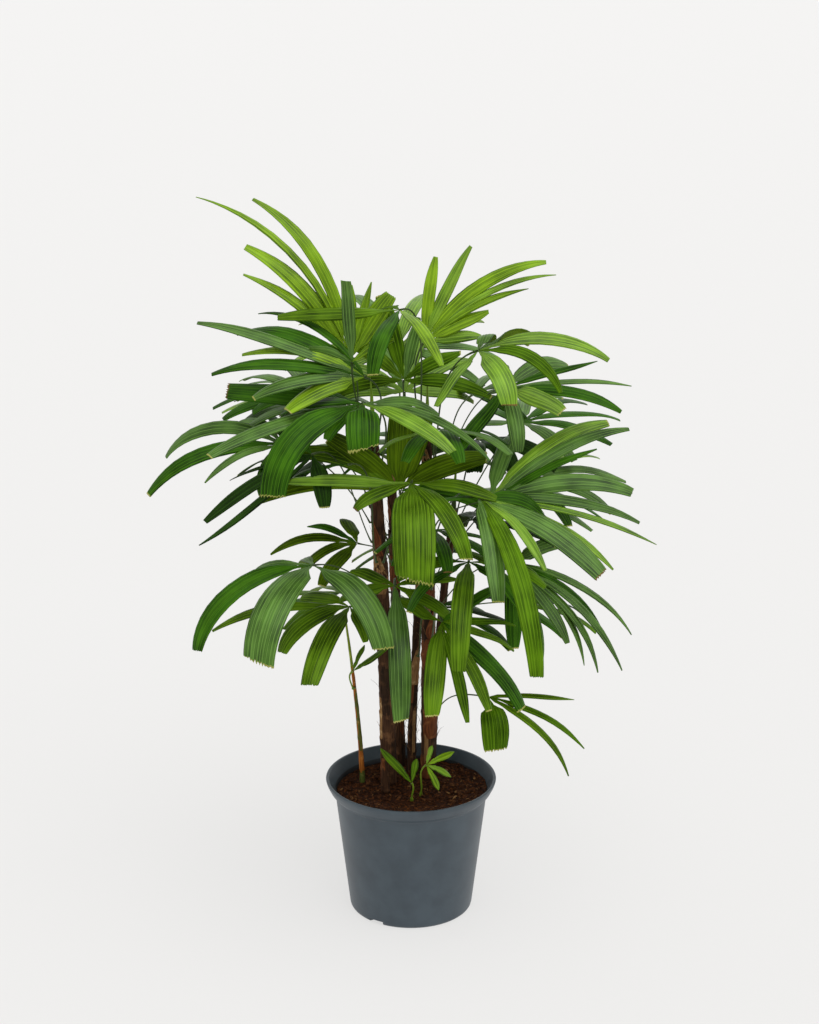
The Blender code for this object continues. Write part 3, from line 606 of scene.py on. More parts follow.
def leaf_skin(name, dark, light, roughness, shine=0.3):
    """Waxy leaf tissue with streaks that run from the hub to the tip."""
    made, tree, shader = new_material(name, roughness, 1.45, shine)
    place = add_node(tree, "ShaderNodeTexCoord")
    stretch = add_node(tree, "ShaderNodeMapping", Vector=place.outputs["UV"], Scale=STREAKS)
    streaks = add_node(tree, "ShaderNodeTexNoise", Vector=stretch.outputs[0], Scale=1.0, Detail=3.0)
    clouds = add_node(tree, "ShaderNodeTexNoise", Vector=place.outputs["Object"], Scale=22.0, Detail=2.0)
    both = add_node(tree, "ShaderNodeMix", {"data_type": "FLOAT"}, Factor=0.5, A=streaks.outputs[0],
                    B=clouds.outputs[0])
    lay_pattern(tree, shader, both.outputs[0], (0.39, 0.61), (dark, light),
                streaks.outputs[0], 0.3, 0.5 * MM)
    return made


# Each family: two greens for the pleats (dark and light of each), rib, underside and shine.
GREENS = {
    # The bright family is partly painted light: its green is raised for the light that shines through the
    # young top leaves.
    "bright": (("#3F5B06", "#739A11"), ("#4C6A09", "#85AC1A"), "#8BAF20", ("#536B0F", "#81A01E"), 0.2),
    "fresh": (("#37530D", "#6C9522"), ("#456111", "#80A82C"), "#87AC34", ("#4D6613", "#799724"), 0.22),
    "leafy": (("#293F05", "#52760F"), ("#324B07", "#618516"), "#67881B", ("#41560C", "#698419"), 0.06),
    "mid": (("#243C10", "#4E7428"), ("#304A18", "#5E8634"), "#688C3E", ("#435A0F", "#6D891D"), 0.2),
    "low": (("#233B04", "#4A6E0C"), ("#2C4606", "#587D11"), "#5F8218", ("#3A4F0A", "#5E7815"), 0.03),
    "deep": (("#152E04", "#315C0C"), ("#1C3805", "#3E6B10"), "#457114", ("#2D3F07", "#4D6412"), 0.06),
    # The near-black family is painted shade, for leaves that lie in shadow inside the crown.
    "shade": (("#0F1F05", "#1E380A"), ("#142607", "#27460E"), "#2C4C12", ("#1F2B08", "#354610"), 0.05),
    "olive": (("#263604", "#4C680B"), ("#2E4205", "#5A770D"), "#5E7912", ("#354306", "#556810"), 0.03),
}
LIGHTER = {"bright": "bright", "fresh": "bright", "leafy": "mid", "mid": "fresh", "low": "leafy",
           "deep": "low", "olive": "leafy", "shade": "deep"}
# Painted shade: the near-black family is also the darker pick for deep leaflets.
DARKER = {"bright": "fresh", "fresh": "mid", "mid": "deep", "leafy": "low", "low": "deep",
          "deep": "shade", "olive": "deep", "shade": "shade"}
upper, under, FAMILY = [], [], {}
for family, (first, second, rib, below, shine) in GREENS.items():
    FAMILY[family] = len(upper)
    upper += [leaf_skin(f"leaf_{family}", *first, 0.34, shine),
              leaf_skin(f"leaf_{family}_light", *second, 0.34, shine),
              leaf_skin(f"leaf_{family}_rib", rib, rib, 0.42, shine)]
    under += [leaf_skin(f"underside_{family}", *below, 0.5, shine)] * 3
STRAW, BROWN = len(upper), len(upper) + 1
dry = [leaf_skin("dry_tip_straw", "#7E8438", "#ABA862", 0.7, 0.1),
       leaf_skin("dry_tip_brown", "#55411F", "#7C6538", 0.75, 0.1)]
upper += dry
under += dry
print("leaf finishes:", len(set(upper + under)))

# %% [markdown]
# ## One leaflet
#
# A leaflet is folded like a fan: crests and valleys run its whole length about 5 mm apart,
# with a rib along each crest. Slim leaflets end in a point. Broad ones are bitten off, and every
# crest ends in its own small tooth. The grid below has three columns of points for each pleat,
# rows along the growth line, and two more rows that carry the pleats into the hub, where the
# leaflets are joined. Solidify then gives the sheet a thin body with its own underside.

# %% Measures of a leaflet
RIB_SPACING = 5.2 * MM
RIB_WIDTH = 0.6 * MM
PLEAT_DEPTH = 0.045
TWIST_BY = 11
WAVE = 1.6 * MM
CROWN = 0.07
DRY_EDGE = 2 * MM
WIDTH_ALONG = ((0, 0.3), (0.07, 0.56), (0.16, 0.8), (0.28, 0.94), (0.45, 1.0))
END_SHARE = ((1.2 * CM, 0.12), (1.8 * CM, 0.34), (2.4 * CM, 0.54), (3.2 * CM, 0.7), (4.2 * CM, 0.88))
LEAF_ROWS = (0, 0.04, 0.09, 0.16, 0.24, 0.33, 0.42, 0.52, 0.62, 0.71, 0.79, 0.86, 0.92, 0.96)


# %% Places along and across a leaflet
def between(table, x):
    """Linear interpolation in a table of pairs, level beyond its ends."""
    if x <= table[0][0]:
        return table[0][1]
    for (a, low), (b, high) in zip(table, table[1:]):
        if x <= b:
            return low + (high - low) * (x - a) / (b - a)
    return table[-1][1]


def share_at(t, end):
    """The leaflet's width at a place along it, as a share of its full width."""
    return between(WIDTH_ALONG, t) * (1 - (1 - end) * max(0.0, (t - 0.6) / 0.4) ** 1.9)


def along_path(path, t):
    """Point, direction and side at a place from 0 to 1 along a path."""
    k = min(int(t * PATH_STEPS), PATH_STEPS - 1)
    f = t * PATH_STEPS - k
    return [a.lerp(b, f) for a, b in zip(path[k], path[k + 1])]


def pleat_columns(width, chance):
    """Places across the leaflet: how far over, how high, and whether a rib begins there."""
    count = max(1, round(width / RIB_SPACING))
    half_rib = min(0.2 / count, RIB_WIDTH / width / 2)
    columns = []
    for k in range(count):
        valley = (k + chance.uniform(-0.16, 0.16) * (k > 0)) / count
        crest = (k + 0.5 + chance.uniform(-0.1, 0.1)) / count
        columns += [(valley, -1, False), (crest - half_rib, 1, True), (crest + half_rib, 1, False)]
    columns.append((1.0, -1, False))
    return columns, width / count


# %% Grow one leaflet
def grow_leaflet(piece, hub, face, pair, path, width, family, chance, dried=None, end=None):
    """Adds one pleated leaflet to a joined piece."""
    columns, pitch = pleat_columns(width, chance)
    lift = PLEAT_DEPTH * pitch
    base = FAMILY[family]
    end = end or between(END_SHARE, width)
    torn = max(0.0, (width - 1.8 * CM) / (2.4 * CM))
    teeth = [chance.uniform(0.5, 3) * torn * MM if up < 0 else chance.uniform(-1.5, 1) * torn * MM
             for _, up, _ in columns]
    slope = chance.uniform(-0.25, 0.25) * width * min(1.0, torn)
    wave = chance.uniform(0, math.tau)
    twist = math.radians(chance.uniform(-TWIST_BY, TWIST_BY))
    first = pair[1] - pair[0]
    length = sum((a[0] - b[0]).length for a, b in zip(path, path[1:]))
    rows, flat = [], []
    for s in (0.1, 0.55):
        rows.append([hub + (pair[0].lerp(pair[1], v) - hub) * s + face * up * lift * s
                     for v, up, _ in columns])
        flat.append([(v * width * s, -(1 - s) * HUB_RADIUS) for v, _, _ in columns])
    for t in (*LEAF_ROWS, max(0.97, 1 - DRY_EDGE / length), 1.0):
        point, along, across = along_path(path, t)
        f = min(1.0, t / 0.16)
        f = f * f * (3 - 2 * f)
        share = share_at(t, end)
        full = first.length + (width * share - first.length) * f
        across = first.normalized().lerp(across, f).normalized()
        across = across * math.cos(twist * t) + along.cross(across) * math.sin(twist * t)
        normal = along.cross(across).normalized()
        point = point + normal * WAVE * math.sin(wave + 7 * t) * f * min(1.0, width / (2 * CM))
        row, line = [], []
        for (v, up, _), tooth in zip(columns, teeth):
            x = (v - 0.5) * full
            crown = -CROWN * width * (2 * v - 1) ** 2 * f
            ripple = 0.015 * width * math.sin(wave + 9 * t + 3 * v) * f
            back = (tooth + slope * (v - 0.5)) * max(0.0, (t - 0.95) / 0.05)
            row.append(point + across * x + normal * (up * lift * (0.4 + 0.6 * share) + crown + ripple)
                       - along * back)
            line.append((v * width, t * length))
        rows.append(row)
        flat.append(line)
    tones = [chance.random() < 0.4 for _ in columns]
    if dried is None and width > 2.1 * CM and chance.random() < 0.5:
        dried = "straw" if chance.random() < 0.75 else "brown"

    def finish_of(r, c):
        if dried and r >= len(rows) - 2:
            return STRAW if dried == "straw" else BROWN
        if columns[c][2]:
            return base + 2
        return base + 1 if tones[c] else base

    piece.grid(rows, finish_of, flat)


# %% [markdown]
# ## The crown
#
# Young fronds at the top are a bright yellow-green, partly painted light for the light that
# shines through them, the middle of the crown is a plain mid green and the old, shaded fronds
# at the bottom and inside are deep. The near-black family is painted shade, for leaves in the
# shadow inside the crown. The families below follow the photograph from frond to frond. The
# leaflets go into a few joined pieces by region.

# %% Leaflets by region
CROWN_REGIONS = {
    "leaflets_top": {
        # The top fronds take the bright family, whose green is partly painted light.
        "frond_top_left": "bright", "frond_top_right": "bright", "frond_bar": "low",
        "frond_front_top": "fresh", "frond_centre_top": "leafy", "frond_inner_top": "fresh",
        "frond_inner_top_left": "mid", "frond_inner_top_right": "mid",
        "frond_inner_front_top": "mid", "frond_front_upper": "mid", "frond_upper_right": "fresh"},
    "leaflets_left": {
        "frond_upper_left": "mid", "frond_left_shelf": "deep", "frond_left_mid": "mid",
        "frond_left_lower": "deep", "frond_low_left": "mid", "frond_low_left_back": "leafy",
        "frond_inner_left": "olive", "frond_inner_left_front": "deep", "frond_shoot": "leafy"},
    "leaflets_middle": {
        "frond_front_centre": "leafy", "frond_mid_hanging": "low", "frond_front_low": "leafy",
        "frond_centre_low": "low", "frond_olive": "olive", "frond_inner_front": "deep",
        "frond_inner_low": "deep", "sucker_left": "leafy", "sucker_right": "bright"},
    "leaflets_right": {
        "frond_front_right": "mid", "frond_right_shelf": "mid", "frond_right_mid": "mid",
        # The dark leaves inside the crown on the right take the near-black family: painted shade.
        "frond_low_right": "mid", "frond_lowest_right": "leafy", "frond_dark_right": "shade",
        "frond_inner_right": "shade", "frond_right_back": "mid"},
    "leaflets_back": {
        "frond_back_upper": "fresh", "frond_back_left": "mid", "frond_back_right": "mid",
        "frond_back_centre": "mid", "frond_back_left_mid": "deep", "frond_back_right_mid": "mid",
        "frond_back_low": "low", "frond_back_low_left": "low", "frond_back_low_right": "deep",
        "frond_left_back": "mid"},
}
# Leaflets that differ from their frond, by frond and swing: their family, or a dried end.
# A leaflet without its own family takes the frond's, or the next darker or lighter one.
OWN_FAMILY = {("frond_upper_left", -17): "bright", ("frond_upper_left", 32): "bright",
              ("frond_upper_left", -29): "deep", ("frond_bar", 26): "deep",
              ("frond_left_shelf", 19): "mid", ("frond_olive", 58): "leafy",
              ("frond_front_upper", 8): "deep", ("frond_bar", 66): "bright",
              ("frond_bar", -55): "leafy", ("frond_upper_right", -14): "low",
              ("frond_front_centre", -92): "fresh", ("frond_low_left", -16): "deep",
              ("frond_low_left", 24): "mid", ("frond_low_left", 94): "mid",
              ("frond_low_left_back", 45): "leafy", ("frond_front_right", -11): "low"}
DRIED = {("frond_front_low", 4): "straw", ("frond_front_upper", 8): "straw",
         ("frond_front_centre", -92): "straw", ("frond_upper_right", -58): "brown",
         ("frond_centre_low", -24): "straw", ("frond_lowest_right", -64): "straw"}
LEAF_THICKNESS = 0.5 * MM

# Straps that show the viewer their upper side, though they stand upright.
UPPER_SIDE_OUT = {"frond_front_top": 0.9}

for region, fronds in CROWN_REGIONS.items():
    piece = Joined(region, "leaf", upper + under)
    for name, family in fronds.items():
        frond = plan[name]
        for swing, pair, path, width in frond["leaves"]:
            chance = random.Random(f"{name}{swing:.1f}")
            other = chance.choices((family, DARKER[family], LIGHTER[family]), (56, 30, 14))[0]
            tone = OWN_FAMILY.get((name, swing), other)
            if name in UPPER_SIDE_OUT:
                pair, path = pair[::-1], [(point, along, -across) for point, along, across in path]
            grow_leaflet(piece, frond["hub"], frond["face"], pair, path, width, tone, chance,
                         DRIED.get((name, swing)), UPPER_SIDE_OUT.get(name))
    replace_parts(piece.make(LEAF_THICKNESS), *fronds)

# %% [markdown]
# ## Leaf stalks
#
# A stalk is a tough, smooth, slightly flattened wire of the same tissue as the leaf, about three
# millimetres wide. It clasps the cane, rises and arches over to the hub. Each one is a thin tube
# along a Bezier curve, widened a little where it joins the cane and where the leaflets part.

# %% Tubes along a path
ACROSS = Vector((1, 0, 0))


def rings(path, across, sides, size_at, flat=1.0):
    """Rings of points around a path, carried along it without a twist."""
    rows = []
    for k, point in enumerate(path):
        along = (path[min(k + 1, len(path) - 1)] - path[max(k - 1, 0)]).normalized()
        across = (across - along * across.dot(along)).normalized()
        out = along.cross(across)
        row = []
        for j in range(sides):
            a = math.tau * j / sides
            size = size_at(k, a)
            row.append(point + across * math.cos(a) * size + out * math.sin(a) * size * flat)
        rows.append(row)
    return rows


def bezier(handles, steps):
    """Points along a cubic curve with four handles."""
    a, b, c, d = handles
    return [a * (1 - t) ** 3 + b * 3 * t * (1 - t) ** 2 + c * 3 * t * t * (1 - t) + d * t ** 3
            for t in (k / steps for k in range(steps + 1))]


# %% Stalks
STALK_ROWS = 22
stalks = Joined("petioles", "leaf", [leaf_skin("petiole_skin", "#2E3F1B", "#465A28", 0.4),
                                     leaf_skin("young_petiole_skin", "#5C7A18", "#84A030", 0.4)])
for name, frond in plan.items():
    start, across, handles = frond["stalk"]
    path = [start] + bezier(handles, STALK_ROWS)
    young = int(name in SUCKERS or name == "frond_shoot")

    def half_width(k, a):
        t = k / (STALK_ROWS + 1)
        return MM * (1.35 + 1.6 * max(0.0, 1 - t / 0.1) + 1.0 * max(0.0, (t - 0.9) / 0.1))

    stalks.tube(rings(path, across, 8, half_width, 0.7), lambda r, c: young, young, young)

# %% Spears
# Every full cane ends in its next frond, still folded to a pointed spear.
SPEAR = 85 * MM
SUNK = 12 * MM
for name in FULL_CANES:
    foot, tip, height = CANES[name][:3]
    top = Vector((*tip, height)) * CM - UP * SUNK
    lean = Vector((*tip, 0)) - Vector((*foot, 0))
    path = [top + UP * SPEAR * t + lean * CM * 0.15 * t * t for t in (k / 8 for k in range(9))]
    stalks.tube(rings(path, ACROSS, 8, lambda k, a: (4.5 - 4.1 * (k / 8) ** 1.3) * MM, 0.6),
                lambda r, c: 1 if r > 2 else 0, 0, 1)
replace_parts(stalks.make(), *plan)

# %% [markdown]
# ## Canes
#
# A lady palm's cane is hidden by the old leaf sheaths, a woven brown fibre that wraps the stem
# in overlapping bands of three to five centimetres. Each band bulges, frays at its top edge and
# is furrowed lengthwise by its fibres. So the cane here is a finely divided
# tube whose radius rises and falls with the bands, with furrows from a noise that is stretched
# along the cane. Loose fibres stand off it as thin strands.

# %% Fibre finishes
# Fibres in a metre around and along the cane.
FIBRES = (650, 40, 1)


def fibre_skin(name, dark, light, fleck, roughness=0.85):
    """Woven sheath fibre: thin streaks along the cane with paler flecks."""
    made, tree, shader = new_material(name, roughness, 1.5, 0.15)
    place = add_node(tree, "ShaderNodeTexCoord")
    along = add_node(tree, "ShaderNodeMapping", Vector=place.outputs["UV"], Scale=FIBRES)
    streaks = add_node(tree, "ShaderNodeTexNoise", Vector=along.outputs[0], Scale=1.0, Detail=4.0)
    base = lay_pattern(tree, shader, streaks.outputs[0], (0.35, 0.68), (dark, light),
                       streaks.outputs[0], 0.7, 1 * MM)
    patches = add_node(tree, "ShaderNodeTexNoise", Vector=place.outputs["UV"], Scale=55.0, Detail=3.0)
    limit = add_node(tree, "ShaderNodeMapRange", Value=patches.outputs[0], From_Min=0.55, From_Max=0.68)
    flecked = add_node(tree, "ShaderNodeMix", {"data_type": "RGBA"}, Factor=limit.outputs[0])
    tree.links.new(base, flecked.inputs[6])
    flecked.inputs[7].default_value = linear(fleck)
    tree.links.new(flecked.outputs[2], shader.inputs["Base Color"])
    return made


fibres = [fibre_skin("sheath_fibre_dark", "#1E120A", "#3A2718", "#4E3521"),
          fibre_skin("sheath_fibre_brown", "#2E1B10", "#533824", "#6B4A30"),
          fibre_skin("sheath_fibre_rust", "#4A2614", "#784524", "#8C5A34"),
          fibre_skin("sheath_fibre_tan", "#6B4A2C", "#A07C50", "#B8986C")]
DARK, EARTH, RUST, TAN = range(4)
print("fibre finishes:", len(fibres))

# %% [markdown]
# ### Sheath bands
#
# A row of the tube is four millimetres high. Within a band the radius swells from the top edge
# down, and the top edge itself steps out by about a millimetre, torn unevenly around it. The
# tone of each band is dealt out by chance, and some bands show a paler patch where the outer
# layer has peeled. Towards its tip the cane closes round the youngest stalks.

# %% Bands along a cane
ROW = 4 * MM
AROUND = 32
CLOSING = 50 * MM
TONES_AROUND = 5


def point_along(points, distance):
    """A point at a distance along a line of points."""
    for a, b in zip(points, points[1:]):
        step = (b - a).length
        if distance <= step:
            return a.lerp(b, distance / step)
        distance -= step
    return points[-1]


def cane_line(name, row):
    """Evenly spaced points up a cane's axis, and its whole length."""
    points = cane_axis(*CANES[name][:3])
    total = sum((b - a).length for a, b in zip(points, points[1:]))
    steps = int(total / row)
    return [point_along(points, total * k / steps) for k in range(steps + 1)], total


def sheath_bands(name, tones, total):
    """Where each band begins, how its edge tilts, and its tones around the cane."""
    chance = random.Random(name)
    edges, z = [], 0.0
    while z < total:
        edges.append(z)
        z += chance.uniform(32, 52) * MM
    tilts = [chance.uniform(0, math.tau) for _ in edges]
    return edges, tilts, [chance.choices(tones, k=TONES_AROUND) for _ in edges]


def band_of(edges, tilts, seed, s, a):
    """Number of the band at a height and angle, and how far it is above its torn, tilted edge."""
    for k in range(len(edges) - 1, -1, -1):
        torn = noise.noise(seed + Vector((math.cos(a) * 2.2, math.sin(a) * 2.2, k * 3))) * 7 * MM
        edge = edges[k] + torn + math.sin(a + tilts[k]) * 4 * MM
        if s >= edge:
            return k, s - edge
    return 0, s


# %% Relief of a cane
def cane_tube(piece, name, tones, patches=(), thicker=1.0):
    """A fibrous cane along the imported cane's axis, inside its silhouette and a little over it."""
    low_radius, high_radius = CANES[name][3:]
    line, total = cane_line(name, ROW)
    steps = len(line) - 1
    edges, tilts, band_tones = sheath_bands(name, tones, total)
    seed = Vector((sum(map(ord, name)), 0, 0))

    def radius(k, a):
        s = total * k / steps
        base = (low_radius + (high_radius - low_radius) * s / total) * CM * thicker
        band, since = band_of(edges, tilts, seed, s, a)
        until = (edges[band + 1] if band + 1 < len(edges) else total) - s
        swell = 0.05 * math.sin(min(1.0, since / (30 * MM)) * math.pi)
        step = 0.10 * max(0.0, 1 - until / (14 * MM))
        furrow = noise.noise(seed + Vector((math.cos(a) * 9, math.sin(a) * 9, s * 28))) * 0.07
        lump = noise.noise(seed + Vector((math.cos(a) * 1.6, math.sin(a) * 1.6, s * 14))) * 0.07
        closing = 1 - 0.55 * max(0.0, 1 - (total - s) / CLOSING) ** 1.5
        return base * closing * (0.97 + swell + step + furrow + lump)

    def finish(r, c):
        a = math.tau * c / AROUND
        s = total * r / steps
        for low, high, towards, spread, tone in patches:
            near = abs((math.degrees(a) - towards + 180) % 360 - 180)
            jag = noise.noise(seed + Vector((c * 1.7, r * 0.8, 5))) * 6 * MM
            if low * CM - MIX_TOP + jag < s < high * CM - MIX_TOP + jag and near < spread:
                return tone
        band, _ = band_of(edges, tilts, seed, s, a)
        return band_tones[band][int(c / AROUND * TONES_AROUND)]

    flat = [[(low_radius * CM * math.tau * j / AROUND, total * k / steps) for j in range(AROUND)]
            for k in range(steps + 1)]
    piece.tube(rings(line, ACROSS, AROUND, radius), finish, tones[0], tones[0], flat)


# %% The canes, with their peeled patches
# A patch: from and to height (cm), compass direction, half its width in degrees, and tone.
canes = Joined("canes", "cane", fibres)
cane_tube(canes, "cane_front_left", (EARTH, EARTH, DARK, EARTH),
          ((26, 33, 200, 22, TAN), (19, 30, 185, 16, RUST), (40, 47, 250, 20, RUST)))
cane_tube(canes, "cane_right", (EARTH, DARK, RUST, EARTH),
          ((21.5, 26, 243, 17, TAN), (27.5, 33, 270, 26, TAN), (34, 40, 250, 24, RUST),
           (36, 42, 300, 18, TAN), (46, 50, 260, 24, TAN)))
cane_tube(canes, "cane_back_left", (DARK, EARTH, DARK), ((24, 32, 300, 20, RUST),))
cane_tube(canes, "cane_middle", (DARK, DARK, EARTH), ((22, 29, 290, 24, TAN), (30, 36, 250, 20, RUST)))
cane_tube(canes, "cane_back_right", (EARTH, DARK))
cane_tube(canes, "cane_stub", (EARTH, EARTH, RUST), thicker=1.3)
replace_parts(canes.make(), *FULL_CANES, "cane_stub")

# %% [markdown]
# ### The young shoot
#
# The thin shoot at the left is a green stem. Its own sheaths are split and orange-brown where
# they have dried: one band above its foot and one below its frond, with a streaky green and brown
# stretch between them.

# %% Shoot
shoot_skins = [fibre_skin("shoot_green", "#5C6E12", "#8FA02C", "#A8B44A", 0.5),
               fibre_skin("shoot_green_brown", "#3C4416", "#6A6A2A", "#8A7038", 0.6),
               fibre_skin("shoot_sheath_orange", "#7A3E12", "#B06A28", "#C98A48", 0.7),
               fibre_skin("shoot_foot", "#3E4A1A", "#5E6A2C", "#7A7A44", 0.6)]
GREEN, STREAKY, ORANGE, FOOT = range(4)
# Each tone up to a height in centimetres.
SHOOT_TONES = ((20.5, FOOT), (24, ORANGE), (33.5, STREAKY), (37.5, ORANGE), (60, GREEN))
SHOOT_ROW = 3 * MM
SHOOT_SIDES = 16
shoot = Joined("young_shoot", "shoot", shoot_skins)
low_radius, high_radius = CANES["shoot_left"][3:]
line, _ = cane_line("shoot_left", SHOOT_ROW)


def shoot_radius(k, a):
    """The shoot tapers, with a slight swelling at each joint."""
    t = k / (len(line) - 1)
    node = max(0.0, 1 - abs((t * 5.5) % 1 - 0.5) * 8) * 0.08
    return (low_radius + (high_radius - low_radius) * t) * CM * (1 + node + 0.1 * noise.noise(
        Vector((math.cos(a) * 2, math.sin(a) * 2, k * 0.2))))


def shoot_finish(r, c):
    """The tone by height, with a dried streak down one side of the streaky stretch."""
    z = line[r].z / CM + 0.8 * noise.noise(Vector((c * 1.3, r * 0.4, 2)))
    tone = next(tone for limit, tone in SHOOT_TONES if z < limit)
    return ORANGE if tone == STREAKY and c in (9, 10) and r % 9 < 6 else tone


shoot.tube(rings(line, ACROSS, SHOOT_SIDES, shoot_radius), shoot_finish, FOOT, GREEN,
           [[(j * 1.6 * MM, k * SHOOT_ROW) for j in range(SHOOT_SIDES)] for k in range(len(line))])
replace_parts(shoot.make(), "shoot_left")

# %% [markdown]
# ### Sheaths and loose fibres
#
# Where a stalk leaves its cane its foot widens into a sheath that clasps the stem. It is drawn
# as a curved shell that hugs the cane below the stalk, with a torn edge at each side. Loose
# fibres, one to three centimetres long, curl off the canes between the sheaths.

# %% Clasping sheaths
SHEATH_ROWS, SHEATH_COLUMNS = 10, 8
sheaths = Joined("stalk_sheaths", "leaf", fibres)
for name, row in FRONDS.items():
    cane = row[0]
    if cane == "shoot_left":
        continue
    chance = random.Random("sheath" + name)
    start = plan[name]["stalk"][0]
    out = (start - axis_at(cane, start.z)) * Vector((1, 1, 0))
    heading = math.atan2(out.y, out.x)
    length = chance.uniform(40, 65) * MM
    tone = chance.choice((EARTH, EARTH, RUST, TAN, DARK))
    rows, flat = [], []
    for k in range(SHEATH_ROWS + 1):
        t = k / SHEATH_ROWS
        z = start.z + 9 * MM - t * length
        centre = axis_at(cane, z)
        size = radius_at(cane, z) * 1.1 + 1.2 * MM * (1 - t)
        spread = math.radians(24 + 66 * min(1.0, t * 1.6)) * (1 if t < 0.75 else 1 - (t - 0.75) * 1.6)
        line_points = []
        for j in range(SHEATH_COLUMNS + 1):
            v = j / SHEATH_COLUMNS * 2 - 1
            a = heading + v * spread
            ragged = noise.noise(Vector((v * 4, k * 0.8, start.z * 50))) * 1.0 * MM
            line_points.append(centre + Vector((math.cos(a), math.sin(a), 0)) * (size + ragged))
        rows.append(line_points)
        flat.append([(j * 2.5 * MM, t * length) for j in range(SHEATH_COLUMNS + 1)])
    sheaths.grid(rows, lambda r, c: tone, flat)
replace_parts(sheaths.make(), "cane_front_left", "cane_right")

# %% Loose fibres
STRANDS_ON_A_CANE = 70
strands = Joined("loose_fibres", "cane", fibres)
for name in FULL_CANES:
    chance = random.Random("fibres" + name)
    for _ in range(STRANDS_ON_A_CANE):
        z = chance.uniform(MIX_TOP + 3 * CM, CANES[name][2] * CM - 2 * CM)
        a = chance.uniform(0, math.tau)
        out = Vector((math.cos(a), math.sin(a), 0))
        start = axis_at(name, z) + out * radius_at(name, z)
        lean = Vector((-out.y, out.x, 0)) * chance.uniform(-0.5, 0.5)
        length = chance.uniform(12, 32) * MM
        lift = chance.uniform(0.1, 0.4)
        path = [start + UP * length * t * 0.8 + out * length * (lift * t * t + 0.03) + lean * length * t * t
                for t in (0, 0.25, 0.5, 0.75, 1)]
        strands.grid(rings(path, Vector((out.y, -out.x, 0)), 4, lambda k, a: (0.35 - 0.05 * k) * MM),
                     lambda r, c, tone=chance.choice((DARK, EARTH, TAN)): tone, ring=True)
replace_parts(strands.make(), "cane_front_left", "cane_right")

# %% [markdown]
# ## Potting mix
#
# Coir and bark, damp and nearly black-brown, with paler chips from three to thirteen millimetres
# lying in every direction. The ground is an uneven disc whose height comes from noise, raised a
# few millimetres around the canes and banked up against the wall. The chips are small bent slabs,
# one joined mesh, in four browns.

# %% Mix finishes
# Crumbs in a metre.
CRUMBS = 260.0


def mix_skin(name, dark, light):
    """Crumbly organic matter, matt and uneven."""
    made, tree, shader = new_material(name, 0.95, 1.5, 0.1)
    place = add_node(tree, "ShaderNodeTexCoord")
    crumbs = add_node(tree, "ShaderNodeTexNoise", Vector=place.outputs["Object"], Scale=CRUMBS, Detail=5.0)
    lay_pattern(tree, shader, crumbs.outputs[0], (0.38, 0.66), (dark, light),
                crumbs.outputs[0], 0.8, 1.5 * MM)
    return made


mix_browns = [mix_skin("coir_dark", "#1B0B04", "#3B1E0C"), mix_skin("coir_brown", "#30180A", "#5A3214"),
              mix_skin("bark_chip", "#3A2112", "#5C3A20"), mix_skin("bark_pale", "#5A3C22", "#86643E")]
print("mix finishes:", len(mix_browns))

# %% Mix surface
MIX_RADIUS = 113.5 * MM
SKIRT_RADIUS = 106 * MM
SKIRT_DEPTH = 12 * MM
RINGS_OUT, SPOKES = 56, 150


def ground(x, y):
    """Height of the mix at a place."""
    r = math.hypot(x, y) / MIX_RADIUS
    crumbs = noise.noise(Vector((x * 60, y * 60, 1))) * 2.2
    crumbs += noise.noise(Vector((x * 170, y * 170, 4))) * 1.2
    mound = 3.5 * math.exp(-((x - 0.005) ** 2 + (y - 0.045) ** 2) / 0.004)
    bank = 15 * max(0.0, r - 0.5) * (1 + 0.4 * x / MIX_RADIUS - 0.6 * y / MIX_RADIUS)
    return MIX_TOP + (crumbs + mound + bank - 1.5) * MM


def reach(a):
    """Radius of the mix in a direction. It follows the wall's flare where the mix lies high."""
    edge = ground(math.cos(a) * MIX_RADIUS, math.sin(a) * MIX_RADIUS)
    return MIX_RADIUS - 1.2 * MM + 0.5 * max(0.0, edge - MIX_TOP - 4 * MM)


bed = Joined("mix_bed", "mix", mix_browns)
rows = []
for share in ((k / RINGS_OUT) ** 0.85 + 0.002 for k in range(RINGS_OUT + 1)):
    spots = [(math.cos(a) * reach(a) * share, math.sin(a) * reach(a) * share)
             for a in (math.tau * j / SPOKES for j in range(SPOKES))]
    rows.append([Vector((x, y, ground(x, y))) for x, y in spots])
rows.append([Vector((p.x, p.y, 0)).normalized() * SKIRT_RADIUS + UP * (MIX_TOP - SKIRT_DEPTH)
             for p in rows[-1]])
bed.grid(rows, lambda r, c: 1 if noise.noise(Vector((r * 0.5, c * 0.35, 9))) > 0.15 else 0, ring=True)
bed.cap(0, SPOKES, 0)
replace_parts(bed.make(smooth=False), "potting_mix")

